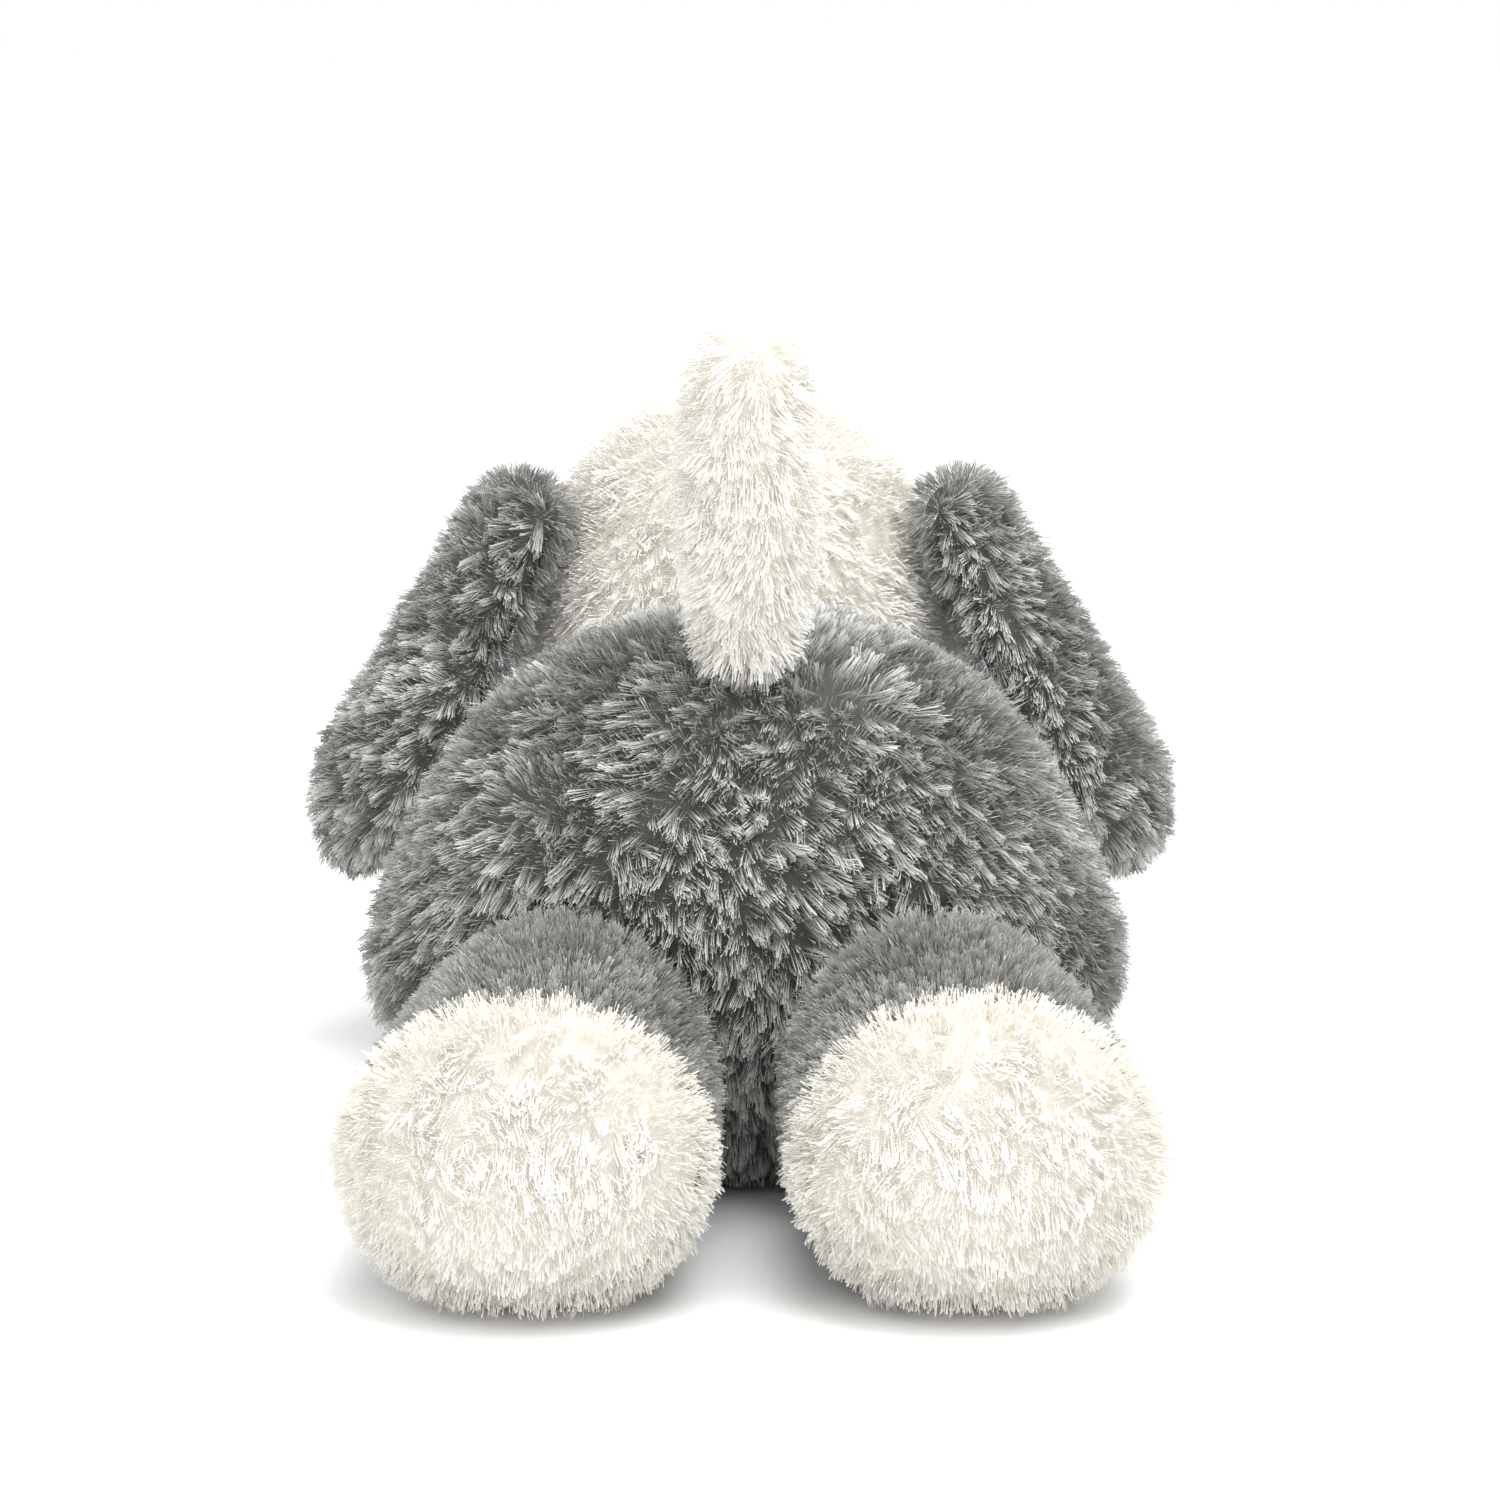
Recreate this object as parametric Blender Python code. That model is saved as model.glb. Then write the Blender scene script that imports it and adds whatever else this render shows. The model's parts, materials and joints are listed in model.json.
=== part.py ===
"""A plush dog lying on its belly: sewn covers, stuffing, a bean pouch, and fitted eyes and nose.

Metres, +Z up. The dog looks along +Y and rests on the plane z = 0, with its origin under its middle.
"""

import math
from dataclasses import dataclass

import bmesh
import bpy
from mathutils import Matrix, Vector

# Cloth, seams and clearances
COVER_WALL = 0.005
FILL_GAP = 0.0008
SEAM_GAP = 0.0008
STITCH_GAP = 0.0003

# Body: rump, heavy haunches, waist and chest with one taut cover around them
RUMP_WIDTH = 0.160
RUMP_DEPTH = 0.139
RUMP_LIFT = 0.058
HAUNCH_WIDTH = 0.176
HAUNCH_LENGTH = 0.114
HAUNCH_HEIGHT = 0.098
HAUNCH_LIFT = 0.047
WAIST_BULGE = 0.004
CHEST_WIDTH = 0.132
CHEST_DEPTH = 0.100
CHEST_LIFT = 0.046
BACK_LENGTH = 0.075
BELLY_SEAM = 0.014

# Bean pouch in the rump
POUCH_WIDTH = 0.090
POUCH_LENGTH = 0.070
POUCH_HEIGHT = 0.034

# Head and muzzle
HEAD_DIAMETER = 0.114
HEAD_FORWARD = 0.057
HEAD_LIFT = 0.1015
CROWN_DIAMETER = 0.101
CROWN_LIFT = 0.0125
NECK_OPENING = 0.022
MUZZLE_WIDTH = 0.062
MUZZLE_LENGTH = 0.058
MUZZLE_HEIGHT = 0.046
MUZZLE_SINK = 0.010
MUZZLE_DROP = 0.016
MUZZLE_TILT = math.radians(12)

# Eyes and nose: a domed head on a shank, held inside by a washer
EYE_RADIUS = 0.0062
EYE_DOME = 0.0042
EYE_TURN = math.radians(27)
EYE_RISE = math.radians(19)
NOSE_RADIUS = 0.0095
NOSE_DOME = 0.0060
SHANK_RADIUS = 0.0020
SHANK_TAIL = 0.0030
WASHER_RADIUS = 0.0065
WASHER_THICKNESS = 0.0015
WASHER_GAP = 0.0012

# Ears: flat inside, crowned outside, laid against the back of the head's sides
EAR_RISE = math.radians(27)
EAR_SETBACK = math.radians(20)
EAR_LENGTH = 0.110
EAR_WIDTH = 0.056
EAR_THICKNESS = 0.0315
EAR_ROOT_WIDTH = 0.040
EAR_ROOT_THICKNESS = 0.021
EAR_ABOVE_CHEEK = 0.016
EAR_LINING = 0.0105

# Tail
TAIL_RISE = math.radians(66)
TAIL_LEAN = math.radians(12)
TAIL_STANDOFF = 0.006
TAIL_LENGTH = 0.072
TAIL_ROOT_RADIUS = 0.012
TAIL_TIP_RADIUS = 0.0130
TAIL_BULGE = 0.0025
TAIL_BALLS = 5
TAIL_OPENING = 0.005

# Hind legs
HIP_SPREAD = 0.0415
HIP_LIFT = 0.034
HIP_RADIUS = 0.0345
HIP_STANDOFF = 0.014
HIND_REACH = 0.062
HIND_SPLAY = math.radians(5)
HIND_PAW_WIDTH = 0.078
HIND_PAW_LENGTH = 0.062
HIND_PAW_HEIGHT = 0.066
HIND_CUFF = 0.0535

# Front legs
SHOULDER_SPREAD = 0.046
SHOULDER_LIFT = 0.027
SHOULDER_RADIUS = 0.024
SHOULDER_STANDOFF = 0.015
FRONT_REACH = 0.062
FRONT_SPLAY = math.radians(13)
FRONT_PAW_WIDTH = 0.058
FRONT_PAW_LENGTH = 0.056
FRONT_PAW_HEIGHT = 0.052
FRONT_CUFF = 0.054

# How far a resting foot is pressed flat
FOOT_PRESS = 0.0015

# Roundness of the forms: facets around and facets from pole to pole
BODY_FACETS = (24, 12)
HEAD_FACETS = (24, 12)
LIMB_FACETS = (18, 10)
FILL_FACETS = (14, 8)
FITTING_FACETS = (12, 6)
CREASE_ANGLE = math.radians(40)
FLAT_ANGLE = math.radians(0.05)
CUTTER_BLOCK = 0.8

# Finishes: colour and roughness
GREY_PILE = ((0.26, 0.255, 0.24), 0.95)
CREAM_PILE = ((0.86, 0.83, 0.76), 0.95)
FIBRE = ((0.92, 0.92, 0.90), 1.0)
POUCH_CLOTH = ((0.75, 0.74, 0.70), 0.9)
BLACK_PLASTIC = ((0.012, 0.011, 0.010), 0.12)
NOSE_PLASTIC = ((0.020, 0.018, 0.017), 0.30)
WASHER_PLASTIC = ((0.80, 0.80, 0.78), 0.5)

SIDES = {"left": -1, "right": 1}
ACROSS = Matrix.Rotation(math.radians(90), 3, "Y")
UPRIGHT = Matrix.Identity(3)
UP = Vector((0, 0, 1))
FORWARD = Vector((0, 1, 0))
ALL_ROUND = Vector((1, 1, 1))


@dataclass(frozen=True)
class Ball:
    """An ellipsoid that a soft form is drawn around, with its poles along its own Z."""

    centre: Vector
    radii: Vector
    turn: Matrix

    def grown(self, by):
        """The same ball with every radius longer by a distance."""
        return Ball(self.centre, self.radii + Vector((by, by, by)), self.turn)

    def matrix(self):
        """The transform that takes a unit sphere to this ball."""
        return Matrix.Translation(self.centre) @ self.turn.to_4x4() @ Matrix.Diagonal((*self.radii, 1))


def new_collection(name):
    collection = bpy.data.collections.new(name)
    bpy.context.scene.collection.children.link(collection)
    return collection


def new_material(name, colour, roughness):
    material = bpy.data.materials.new(name)
    material.use_nodes = True
    shader = material.node_tree.nodes["Principled BSDF"]
    shader.inputs["Base Color"].default_value = (*colour, 1)
    shader.inputs["Roughness"].default_value = roughness
    shader.inputs["Metallic"].default_value = 0
    return material


def add_pivot(name, at, parent=None):
    """An empty on a joint's axis, which the pieces of one body hang from."""
    pivot = bpy.data.objects.new(name, None)
    pivot.location = at - origin_of(parent)
    pivot.parent = parent
    parts.objects.link(pivot)
    return pivot


def origin_of(pivot):
    """A pivot's place before the root's shift."""
    if pivot is None or pivot.parent is None:
        return Vector()
    return pivot.location + origin_of(pivot.parent)


def add_piece(name, bm, pivot, finish):
    """Make a named piece from a bmesh drawn in the dog's own coordinates."""
    obj = add_mesh(name, bm, pivot, parts)
    colour, roughness = finish
    obj.data.materials.append(new_material(name, colour, roughness))
    return obj


def add_cutter(name, bm):
    """Make a guide that shapes other pieces and isn't one itself."""
    obj = add_mesh(name, bm, root, cutters)
    obj.hide_render = True
    obj.display_type = "WIRE"
    return obj


def add_mesh(name, bm, pivot, collection):
    bmesh.ops.recalc_face_normals(bm, faces=bm.faces[:])
    bmesh.ops.translate(bm, verts=bm.verts[:], vec=-origin_of(pivot))
    mesh = bpy.data.meshes.new(name)
    bm.to_mesh(mesh)
    bm.free()
    mesh.shade_smooth()
    mesh.set_sharp_from_angle(angle=CREASE_ANGLE)
    obj = bpy.data.objects.new(name, mesh)
    obj.parent = pivot
    collection.objects.link(obj)
    return obj


def cut(piece, *tools):
    """Take each tool's volume away from a piece."""
    for tool in tools:
        boolean(piece, tool, "DIFFERENCE")


def boolean(piece, tool, operation):
    modifier = piece.modifiers.new(tool.name, "BOOLEAN")
    modifier.operation = operation
    modifier.solver = "EXACT"
    modifier.object = tool


def taut_skin(balls, by=0.0, floor=None, facets=LIMB_FACETS):
    """The skin drawn tight around some balls, grown by a distance and cut flat at a floor height."""
    bm = bmesh.new()
    for ball in balls:
        bmesh.ops.create_uvsphere(
            bm, u_segments=facets[0], v_segments=facets[1], radius=1, matrix=ball.grown(by).matrix()
        )
    if len(balls) > 1:
        bmesh.ops.delete(bm, geom=bm.edges[:], context="EDGES_FACES")
        hull = bmesh.ops.convex_hull(bm, input=bm.verts[:])
        left_over = set(hull["geom_interior"] + hull["geom_unused"])
        inner_points = [item for item in left_over if isinstance(item, bmesh.types.BMVert)]
        bmesh.ops.delete(bm, geom=inner_points, context="VERTS")
        bmesh.ops.dissolve_limit(bm, angle_limit=FLAT_ANGLE, verts=bm.verts[:], edges=bm.edges[:])
    if floor is not None:
        everything = bm.verts[:] + bm.edges[:] + bm.faces[:]
        bmesh.ops.bisect_plane(bm, geom=everything, plane_co=UP * floor, plane_no=-UP, clear_outer=True)
        bmesh.ops.holes_fill(bm, edges=bm.edges[:], sides=0)
    return bm


def half_space(name, point, direction):
    """A large block that starts at a plane and lies on the side that the direction points to."""
    bm = bmesh.new()
    middle = point + direction.normalized() * CUTTER_BLOCK / 2
    matrix = Matrix.Translation(middle) @ direction.to_track_quat("Z", "Y").to_matrix().to_4x4()
    bmesh.ops.create_cube(bm, size=CUTTER_BLOCK, matrix=matrix)
    return add_cutter(name, bm)


def rod(start, direction, radius, length, facets=FITTING_FACETS):
    """A cylinder that starts at a point and runs along a direction."""
    bm = bmesh.new()
    middle = start + direction.normalized() * length / 2
    matrix = Matrix.Translation(middle) @ direction.to_track_quat("Z", "Y").to_matrix().to_4x4()
    bmesh.ops.create_cone(
        bm, cap_ends=True, segments=facets[0], radius1=radius, radius2=radius, depth=length, matrix=matrix
    )
    return bm


def add_cover(name, balls, pivot, finish, facets, floor=None, inner_facets=FILL_FACETS):
    """A sewn cover: the outer skin with the room for the stuffing taken out of it."""
    cover = add_piece(name, taut_skin(balls, floor=floor, facets=facets), pivot, finish)
    room_floor = None if floor is None else floor + COVER_WALL
    cut(cover, add_cutter(name + "_room", taut_skin(balls, -COVER_WALL, room_floor, inner_facets)))
    return cover


def add_stuffing(name, balls, pivot, floor=None, facets=FILL_FACETS):
    """The wad of fibre that fills a cover, drawn with the facets of the cover's inside."""
    inset = COVER_WALL + FILL_GAP
    fill_floor = None if floor is None else floor + inset
    return add_piece(name, taut_skin(balls, -inset, fill_floor, facets), pivot, FIBRE)


def surface_reach(ball, x, z):
    """How far the ball's surface lies from its middle along Y, at a given x and z."""
    across = (x - ball.centre.x) / ball.radii.z
    upward = (z - ball.centre.z) / ball.radii.x
    return ball.radii.y * math.sqrt(1 - across**2 - upward**2)


def add_fitting(name, pivot, base, direction, dome_radius, dome_height, seat, finish):
    """A domed plastic fitting with its shank and washer, and the cutters that make room for it.

    base is the point of the cover under the dome, and seat the washer's depth below it.
    """
    shank_length = seat + WASHER_THICKNESS + SHANK_TAIL
    turn = direction.to_track_quat("Z", "Y").to_matrix()
    dome = Ball(base, Vector((dome_radius, dome_radius, dome_height)), turn)
    piece = add_piece(name, taut_skin([dome], facets=FITTING_FACETS), pivot, finish)
    shank = add_cutter(name + "_shank", rod(base, -direction, SHANK_RADIUS, shank_length))
    boolean(piece, shank, "UNION")

    hole_radius = SHANK_RADIUS + STITCH_GAP
    dome_pit = add_cutter(name + "_pit", taut_skin([dome], STITCH_GAP, facets=FITTING_FACETS))
    hole = add_cutter(name + "_hole", rod(base, -direction, hole_radius, shank_length + FILL_GAP))
    pocket_start = base + direction * dome_height
    pocket_depth = dome_height + shank_length + FILL_GAP
    pocket_rod = rod(pocket_start, -direction, WASHER_RADIUS + FILL_GAP, pocket_depth)
    pocket = add_cutter(name + "_pocket", pocket_rod)

    washer_rod = rod(base - direction * seat, -direction, WASHER_RADIUS, WASHER_THICKNESS)
    washer = add_piece(name + "_washer", washer_rod, pivot, WASHER_PLASTIC)
    cut(washer, hole)
    return dome_pit, hole, pocket


def add_leg(name, hip_ball, pivot, direction, reach, paw_size, cuff):
    """One leg: a cover from its root to the cuff seam, a paw beyond the seam, and stuffing through both."""
    turn = direction.to_track_quat("Y", "Z").to_matrix()
    paw_width, paw_length, paw_height = paw_size
    paw_centre = hip_ball.centre + direction * reach
    paw_centre.z = paw_height / 2 - FOOT_PRESS
    paw_ball = Ball(paw_centre, Vector((paw_width, paw_length, paw_height)) / 2, turn)
    balls = [hip_ball, paw_ball]
    seam = hip_ball.centre + direction * cuff

    cover = add_cover(name, balls, pivot, GREY_PILE, LIMB_FACETS, floor=0)
    cut(cover, half_space(name + "_past_cuff", seam, direction))
    paw = add_cover(name.replace("leg", "paw"), balls, pivot, CREAM_PILE, LIMB_FACETS, floor=0)
    cut(paw, half_space(name + "_before_cuff", seam + direction * STITCH_GAP, -direction))
    add_stuffing(name + "_stuffing", balls, pivot, floor=0)
    return paw_ball


def lowest_and_highest(ball, direction):
    """Where a ball starts and ends along a direction."""
    local = ball.turn.transposed() @ direction
    half = Vector([local[i] * ball.radii[i] for i in range(3)]).length
    middle = ball.centre.dot(direction)
    return middle - half, middle + half


for old in list(bpy.data.objects):
    bpy.data.objects.remove(old)
parts = new_collection("lying_plush_dog")
cutters = new_collection("cutters")

# Balls that the forms are drawn around, with the rump's middle at y = 0
rump = Ball(UP * RUMP_LIFT, Vector((RUMP_DEPTH, RUMP_DEPTH, RUMP_WIDTH)) / 2, ACROSS)
haunch = Ball(UP * HAUNCH_LIFT, Vector((HAUNCH_HEIGHT, HAUNCH_LENGTH, HAUNCH_WIDTH)) / 2, ACROSS)
chest_centre = Vector((0, BACK_LENGTH, CHEST_LIFT))
chest = Ball(chest_centre, Vector((CHEST_DEPTH, CHEST_DEPTH, CHEST_WIDTH)) / 2, ACROSS)
waist = Ball((rump.centre + chest.centre) / 2, (rump.radii + chest.radii) / 2, ACROSS).grown(WAIST_BULGE)
head_centre = Vector((0, BACK_LENGTH + HEAD_FORWARD, HEAD_LIFT))
head = Ball(head_centre, ALL_ROUND * HEAD_DIAMETER / 2, ACROSS)
crown = Ball(head.centre + UP * CROWN_LIFT, ALL_ROUND * CROWN_DIAMETER / 2, UPRIGHT)
muzzle = Ball(
    head.centre + Vector((0, HEAD_DIAMETER / 2 - MUZZLE_SINK, -MUZZLE_DROP)),
    Vector((MUZZLE_WIDTH, MUZZLE_LENGTH, MUZZLE_HEIGHT)) / 2,
    Matrix.Rotation(MUZZLE_TILT, 3, "X"),
)
tail_way = Vector((0, -math.cos(TAIL_RISE), math.sin(TAIL_RISE)))
tail_axis = Vector((0, -math.sin(TAIL_LEAN), math.cos(TAIL_LEAN)))
tail_hinge = rump.centre + tail_way * (RUMP_DEPTH / 2 + TAIL_STANDOFF)
tail_balls = []
for step in range(TAIL_BALLS):
    share = step / (TAIL_BALLS - 1)
    taper = (TAIL_TIP_RADIUS - TAIL_ROOT_RADIUS) * share
    radius = TAIL_ROOT_RADIUS + taper + TAIL_BULGE * math.sin(math.pi * share)
    centre = tail_hinge + tail_axis * (TAIL_LENGTH - TAIL_TIP_RADIUS) * share
    tail_balls.append(Ball(centre, ALL_ROUND * radius, ACROSS))


def hip_ball(side):
    """The ball at a hind leg's root, which turns in a hollow of the rump."""
    x = side * HIP_SPREAD
    y = rump.centre.y - surface_reach(rump, x, HIP_LIFT) - HIP_STANDOFF
    return Ball(Vector((x, y, HIP_LIFT)), ALL_ROUND * HIP_RADIUS, UPRIGHT)


def shoulder_ball(side):
    """The ball at a front leg's root, which turns in a hollow of the chest."""
    x = side * SHOULDER_SPREAD
    y = chest.centre.y + surface_reach(chest, x, SHOULDER_LIFT) + SHOULDER_STANDOFF
    return Ball(Vector((x, y, SHOULDER_LIFT)), ALL_ROUND * SHOULDER_RADIUS, UPRIGHT)


root = add_pivot("lying_plush_dog_middle", Vector())

# Body
limb_balls = {"head_hollow": head, "tail_hollow": tail_balls[0]}
for side_name, side in SIDES.items():
    limb_balls[f"hip_hollow_{side_name}"] = hip_ball(side)
    limb_balls[f"shoulder_hollow_{side_name}"] = shoulder_ball(side)
hollows = []
for hollow_name, ball in limb_balls.items():
    hollow_facets = HEAD_FACETS if ball is head else LIMB_FACETS
    hollows.append(add_cutter(hollow_name, taut_skin([ball], SEAM_GAP, facets=hollow_facets)))

body_balls = [rump, haunch, waist, chest]
body_cover = add_cover("body_cover", body_balls, root, GREY_PILE, BODY_FACETS, floor=0)
cut(body_cover, *hollows, half_space("below_belly_seam", UP * BELLY_SEAM, -UP))
belly_panel = add_cover("belly_panel", body_balls, root, GREY_PILE, BODY_FACETS, floor=0)
cut(belly_panel, *hollows, half_space("above_belly_seam", UP * (BELLY_SEAM - STITCH_GAP), UP))

pouch_floor = COVER_WALL + FILL_GAP
pouch_size = Vector((POUCH_WIDTH, POUCH_LENGTH, POUCH_HEIGHT))
pouch = Ball(UP * (pouch_floor + POUCH_HEIGHT / 4), pouch_size / 2, UPRIGHT)
add_piece("bean_pouch", taut_skin([pouch], floor=pouch_floor, facets=FILL_FACETS), root, POUCH_CLOTH)
pouch_room = add_cutter("bean_pouch_room", taut_skin([pouch], FILL_GAP, facets=FILL_FACETS))
body_stuffing = add_stuffing("body_stuffing", body_balls, root, floor=0)
cut(body_stuffing, *hollows, pouch_room)

# Head, muzzle, eyes and nose
head_pivot = add_pivot("head_pivot", head.centre, root)
neck_way = (chest.centre - head.centre).normalized()
neck_start = head.centre + neck_way * (HEAD_DIAMETER / 2 - 2 * COVER_WALL)
neck_rod = rod(neck_start, neck_way, NECK_OPENING, 3 * COVER_WALL, LIMB_FACETS)
head_balls = [head, crown]
head_cover = add_cover("head_cover", head_balls, head_pivot, CREAM_PILE, HEAD_FACETS, inner_facets=HEAD_FACETS)
cut(head_cover, add_cutter("neck_opening", neck_rod))
head_stuffing = add_stuffing("head_stuffing", head_balls, head_pivot, facets=HEAD_FACETS)

head_face = add_cutter("head_face", taut_skin(head_balls, STITCH_GAP, facets=HEAD_FACETS))
muzzle_cover = add_cover("muzzle_cover", [muzzle], head_pivot, CREAM_PILE, LIMB_FACETS)
muzzle_stuffing = add_stuffing("muzzle_stuffing", [muzzle], head_pivot)
cut(muzzle_cover, head_face)
cut(muzzle_stuffing, head_face)

washer_reach = math.sqrt((HEAD_DIAMETER / 2 - COVER_WALL) ** 2 - WASHER_RADIUS**2)
eye_seat = HEAD_DIAMETER / 2 - washer_reach + WASHER_GAP
for side_name, side in SIDES.items():
    level_way = Vector((side * math.sin(EYE_TURN), math.cos(EYE_TURN), 0))
    eye_way = level_way * math.cos(EYE_RISE) + UP * math.sin(EYE_RISE)
    eye_base = head.centre + eye_way * HEAD_DIAMETER / 2
    pit, hole, pocket = add_fitting(
        f"eye_{side_name}", head_pivot, eye_base, eye_way, EYE_RADIUS, EYE_DOME, eye_seat, BLACK_PLASTIC
    )
    cut(head_cover, pit, hole)
    cut(head_stuffing, pocket)

nose_way = muzzle.turn @ FORWARD
nose_base = muzzle.centre + nose_way * MUZZLE_LENGTH / 2
muzzle_inside = muzzle.grown(-COVER_WALL).radii
nose_reach = muzzle_inside.y * math.sqrt(1 - (WASHER_RADIUS / min(muzzle_inside.x, muzzle_inside.z)) ** 2)
nose_seat = MUZZLE_LENGTH / 2 - nose_reach + WASHER_GAP
pit, hole, pocket = add_fitting(
    "nose", head_pivot, nose_base, nose_way, NOSE_RADIUS, NOSE_DOME, nose_seat, NOSE_PLASTIC
)
cut(muzzle_cover, pit, hole)
cut(muzzle_stuffing, pocket)

# Ears
ear_gap_to_head = add_cutter("ear_gap_to_head", taut_skin(head_balls, SEAM_GAP, facets=HEAD_FACETS))
for side_name, side in SIDES.items():
    sideways = Vector((side * math.cos(EAR_RISE), 0, math.sin(EAR_RISE)))
    outward = sideways * math.cos(EAR_SETBACK) - FORWARD * math.sin(EAR_SETBACK)
    downward = (outward * outward.z - UP).normalized()
    along = outward.cross(downward)
    turn = Matrix((downward, along, outward)).transposed()
    cheek = head.centre + outward * (HEAD_DIAMETER / 2 + SEAM_GAP)
    root_radius = EAR_ROOT_THICKNESS / 2
    root_radii = Vector((root_radius, EAR_ROOT_WIDTH / 2, root_radius))
    flap_radii = Vector((EAR_WIDTH, EAR_WIDTH, EAR_THICKNESS)) / 2
    root_at = root_radius - EAR_ABOVE_CHEEK
    flap_at = EAR_LENGTH - EAR_ABOVE_CHEEK - flap_radii.x
    ear_balls = [
        Ball(cheek + downward * root_at + outward * root_radii.z, root_radii, turn),
        Ball(cheek + downward * flap_at + outward * flap_radii.z, flap_radii, turn),
    ]
    ear_hinge = cheek - downward * EAR_ABOVE_CHEEK
    ear_pivot = add_pivot(f"ear_{side_name}_pivot", ear_hinge, head_pivot)
    lining_face = cheek + outward * EAR_LINING
    ear = add_piece(f"ear_{side_name}", taut_skin(ear_balls), ear_pivot, GREY_PILE)
    lining = add_piece(f"ear_lining_{side_name}", taut_skin(ear_balls), ear_pivot, GREY_PILE)
    cut(ear, half_space(f"ear_{side_name}_inside", lining_face + outward * STITCH_GAP, -outward))
    cut(lining, ear_gap_to_head, half_space(f"ear_{side_name}_outside", lining_face, outward))

# Tail
tail_pivot = add_pivot("tail_pivot", tail_hinge, root)
tail_cover = add_cover("tail_cover", tail_balls, tail_pivot, CREAM_PILE, FILL_FACETS)
cut(tail_cover, add_cutter("tail_opening", rod(tail_hinge, -tail_axis, TAIL_OPENING, 2 * TAIL_ROOT_RADIUS)))
add_stuffing("tail_stuffing", tail_balls, tail_pivot)

# Legs
for side_name, side in SIDES.items():
    hip = hip_ball(side)
    hind_way = Vector((side * math.sin(HIND_SPLAY), -math.cos(HIND_SPLAY), 0))
    hind_pivot = add_pivot(f"hind_leg_{side_name}_pivot", hip.centre, root)
    hind_paw_size = (HIND_PAW_WIDTH, HIND_PAW_LENGTH, HIND_PAW_HEIGHT)
    hind_paw = add_leg(
        f"hind_leg_{side_name}", hip, hind_pivot, hind_way, HIND_REACH, hind_paw_size, HIND_CUFF
    )

    shoulder = shoulder_ball(side)
    front_way = Vector((side * math.sin(FRONT_SPLAY), math.cos(FRONT_SPLAY), 0))
    front_pivot = add_pivot(f"front_leg_{side_name}_pivot", shoulder.centre, root)
    front_paw_size = (FRONT_PAW_WIDTH, FRONT_PAW_LENGTH, FRONT_PAW_HEIGHT)
    front_paw = add_leg(
        f"front_leg_{side_name}", shoulder, front_pivot, front_way, FRONT_REACH, front_paw_size, FRONT_CUFF
    )

# The origin lies midway between the hind paws and whatever reaches furthest forward
nose_ball = Ball(nose_base, Vector((NOSE_RADIUS, NOSE_DOME, NOSE_RADIUS)), muzzle.turn)
rear_end = lowest_and_highest(hind_paw, FORWARD)[0]
front_end = max(lowest_and_highest(front_paw, FORWARD)[1], lowest_and_highest(nose_ball, FORWARD)[1])
root.location = -FORWARD * (rear_end + front_end) / 2
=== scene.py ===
"""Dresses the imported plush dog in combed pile, cloth backing, fibre wads and plastic fittings."""

import json
import logging
import math
from dataclasses import dataclass, replace
from enum import Enum
from functools import cache
from typing import Callable, Sequence

import bmesh
import bpy
import numpy as np
from bpy.types import ID, Material, Mesh, Node, NodeSocket, NodeTree, Object
from mathutils import Matrix, Vector, kdtree

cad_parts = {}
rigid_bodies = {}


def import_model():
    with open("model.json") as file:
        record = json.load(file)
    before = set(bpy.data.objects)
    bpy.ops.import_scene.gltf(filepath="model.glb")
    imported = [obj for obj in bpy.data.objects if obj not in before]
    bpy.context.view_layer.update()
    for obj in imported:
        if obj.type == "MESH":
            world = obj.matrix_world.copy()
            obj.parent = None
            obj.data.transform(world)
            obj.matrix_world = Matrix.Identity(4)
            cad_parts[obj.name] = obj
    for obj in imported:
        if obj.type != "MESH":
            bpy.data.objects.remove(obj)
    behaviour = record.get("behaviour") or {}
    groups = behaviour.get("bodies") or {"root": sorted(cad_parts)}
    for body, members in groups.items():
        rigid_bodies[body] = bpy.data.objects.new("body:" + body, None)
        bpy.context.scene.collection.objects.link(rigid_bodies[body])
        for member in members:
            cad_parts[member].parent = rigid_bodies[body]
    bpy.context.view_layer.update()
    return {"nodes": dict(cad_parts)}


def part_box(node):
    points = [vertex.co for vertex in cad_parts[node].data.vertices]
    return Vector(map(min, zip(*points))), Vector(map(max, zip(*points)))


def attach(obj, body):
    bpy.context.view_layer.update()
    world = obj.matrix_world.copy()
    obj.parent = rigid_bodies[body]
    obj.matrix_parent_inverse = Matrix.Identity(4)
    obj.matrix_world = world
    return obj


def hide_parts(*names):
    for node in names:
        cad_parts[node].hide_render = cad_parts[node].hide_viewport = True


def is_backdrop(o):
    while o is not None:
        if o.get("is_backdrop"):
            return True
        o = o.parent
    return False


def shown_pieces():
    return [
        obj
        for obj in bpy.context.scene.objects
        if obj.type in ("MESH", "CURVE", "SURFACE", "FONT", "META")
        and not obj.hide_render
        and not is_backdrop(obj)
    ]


for startup_object in list(bpy.data.objects):
    bpy.data.objects.remove(startup_object)
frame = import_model()

LOG = logging.getLogger("plush_dog")
UV_NAME = "OFBake"
UP = Vector((0, 0, 1))
ROUND = Vector((1, 1, 1))
Array = np.ndarray
Triple = tuple[float, float, float]
Colour = Triple
Guide = Callable[[Array], Array]
Keep = Callable[[Array], Array]


class Spelled(Enum):
    """A choice that the CAD nodes name in small letters."""

    @property
    def word(self) -> str:
        """The choice as the CAD nodes spell it."""
        return self.name.lower()


class Side(Spelled):
    """The dog's own left and right, with the sign of X there."""

    LEFT = -1
    RIGHT = 1


class End(Spelled):
    """The hind and front legs, with the sign of Y that they point along."""

    HIND = -1
    FRONT = 1


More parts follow.
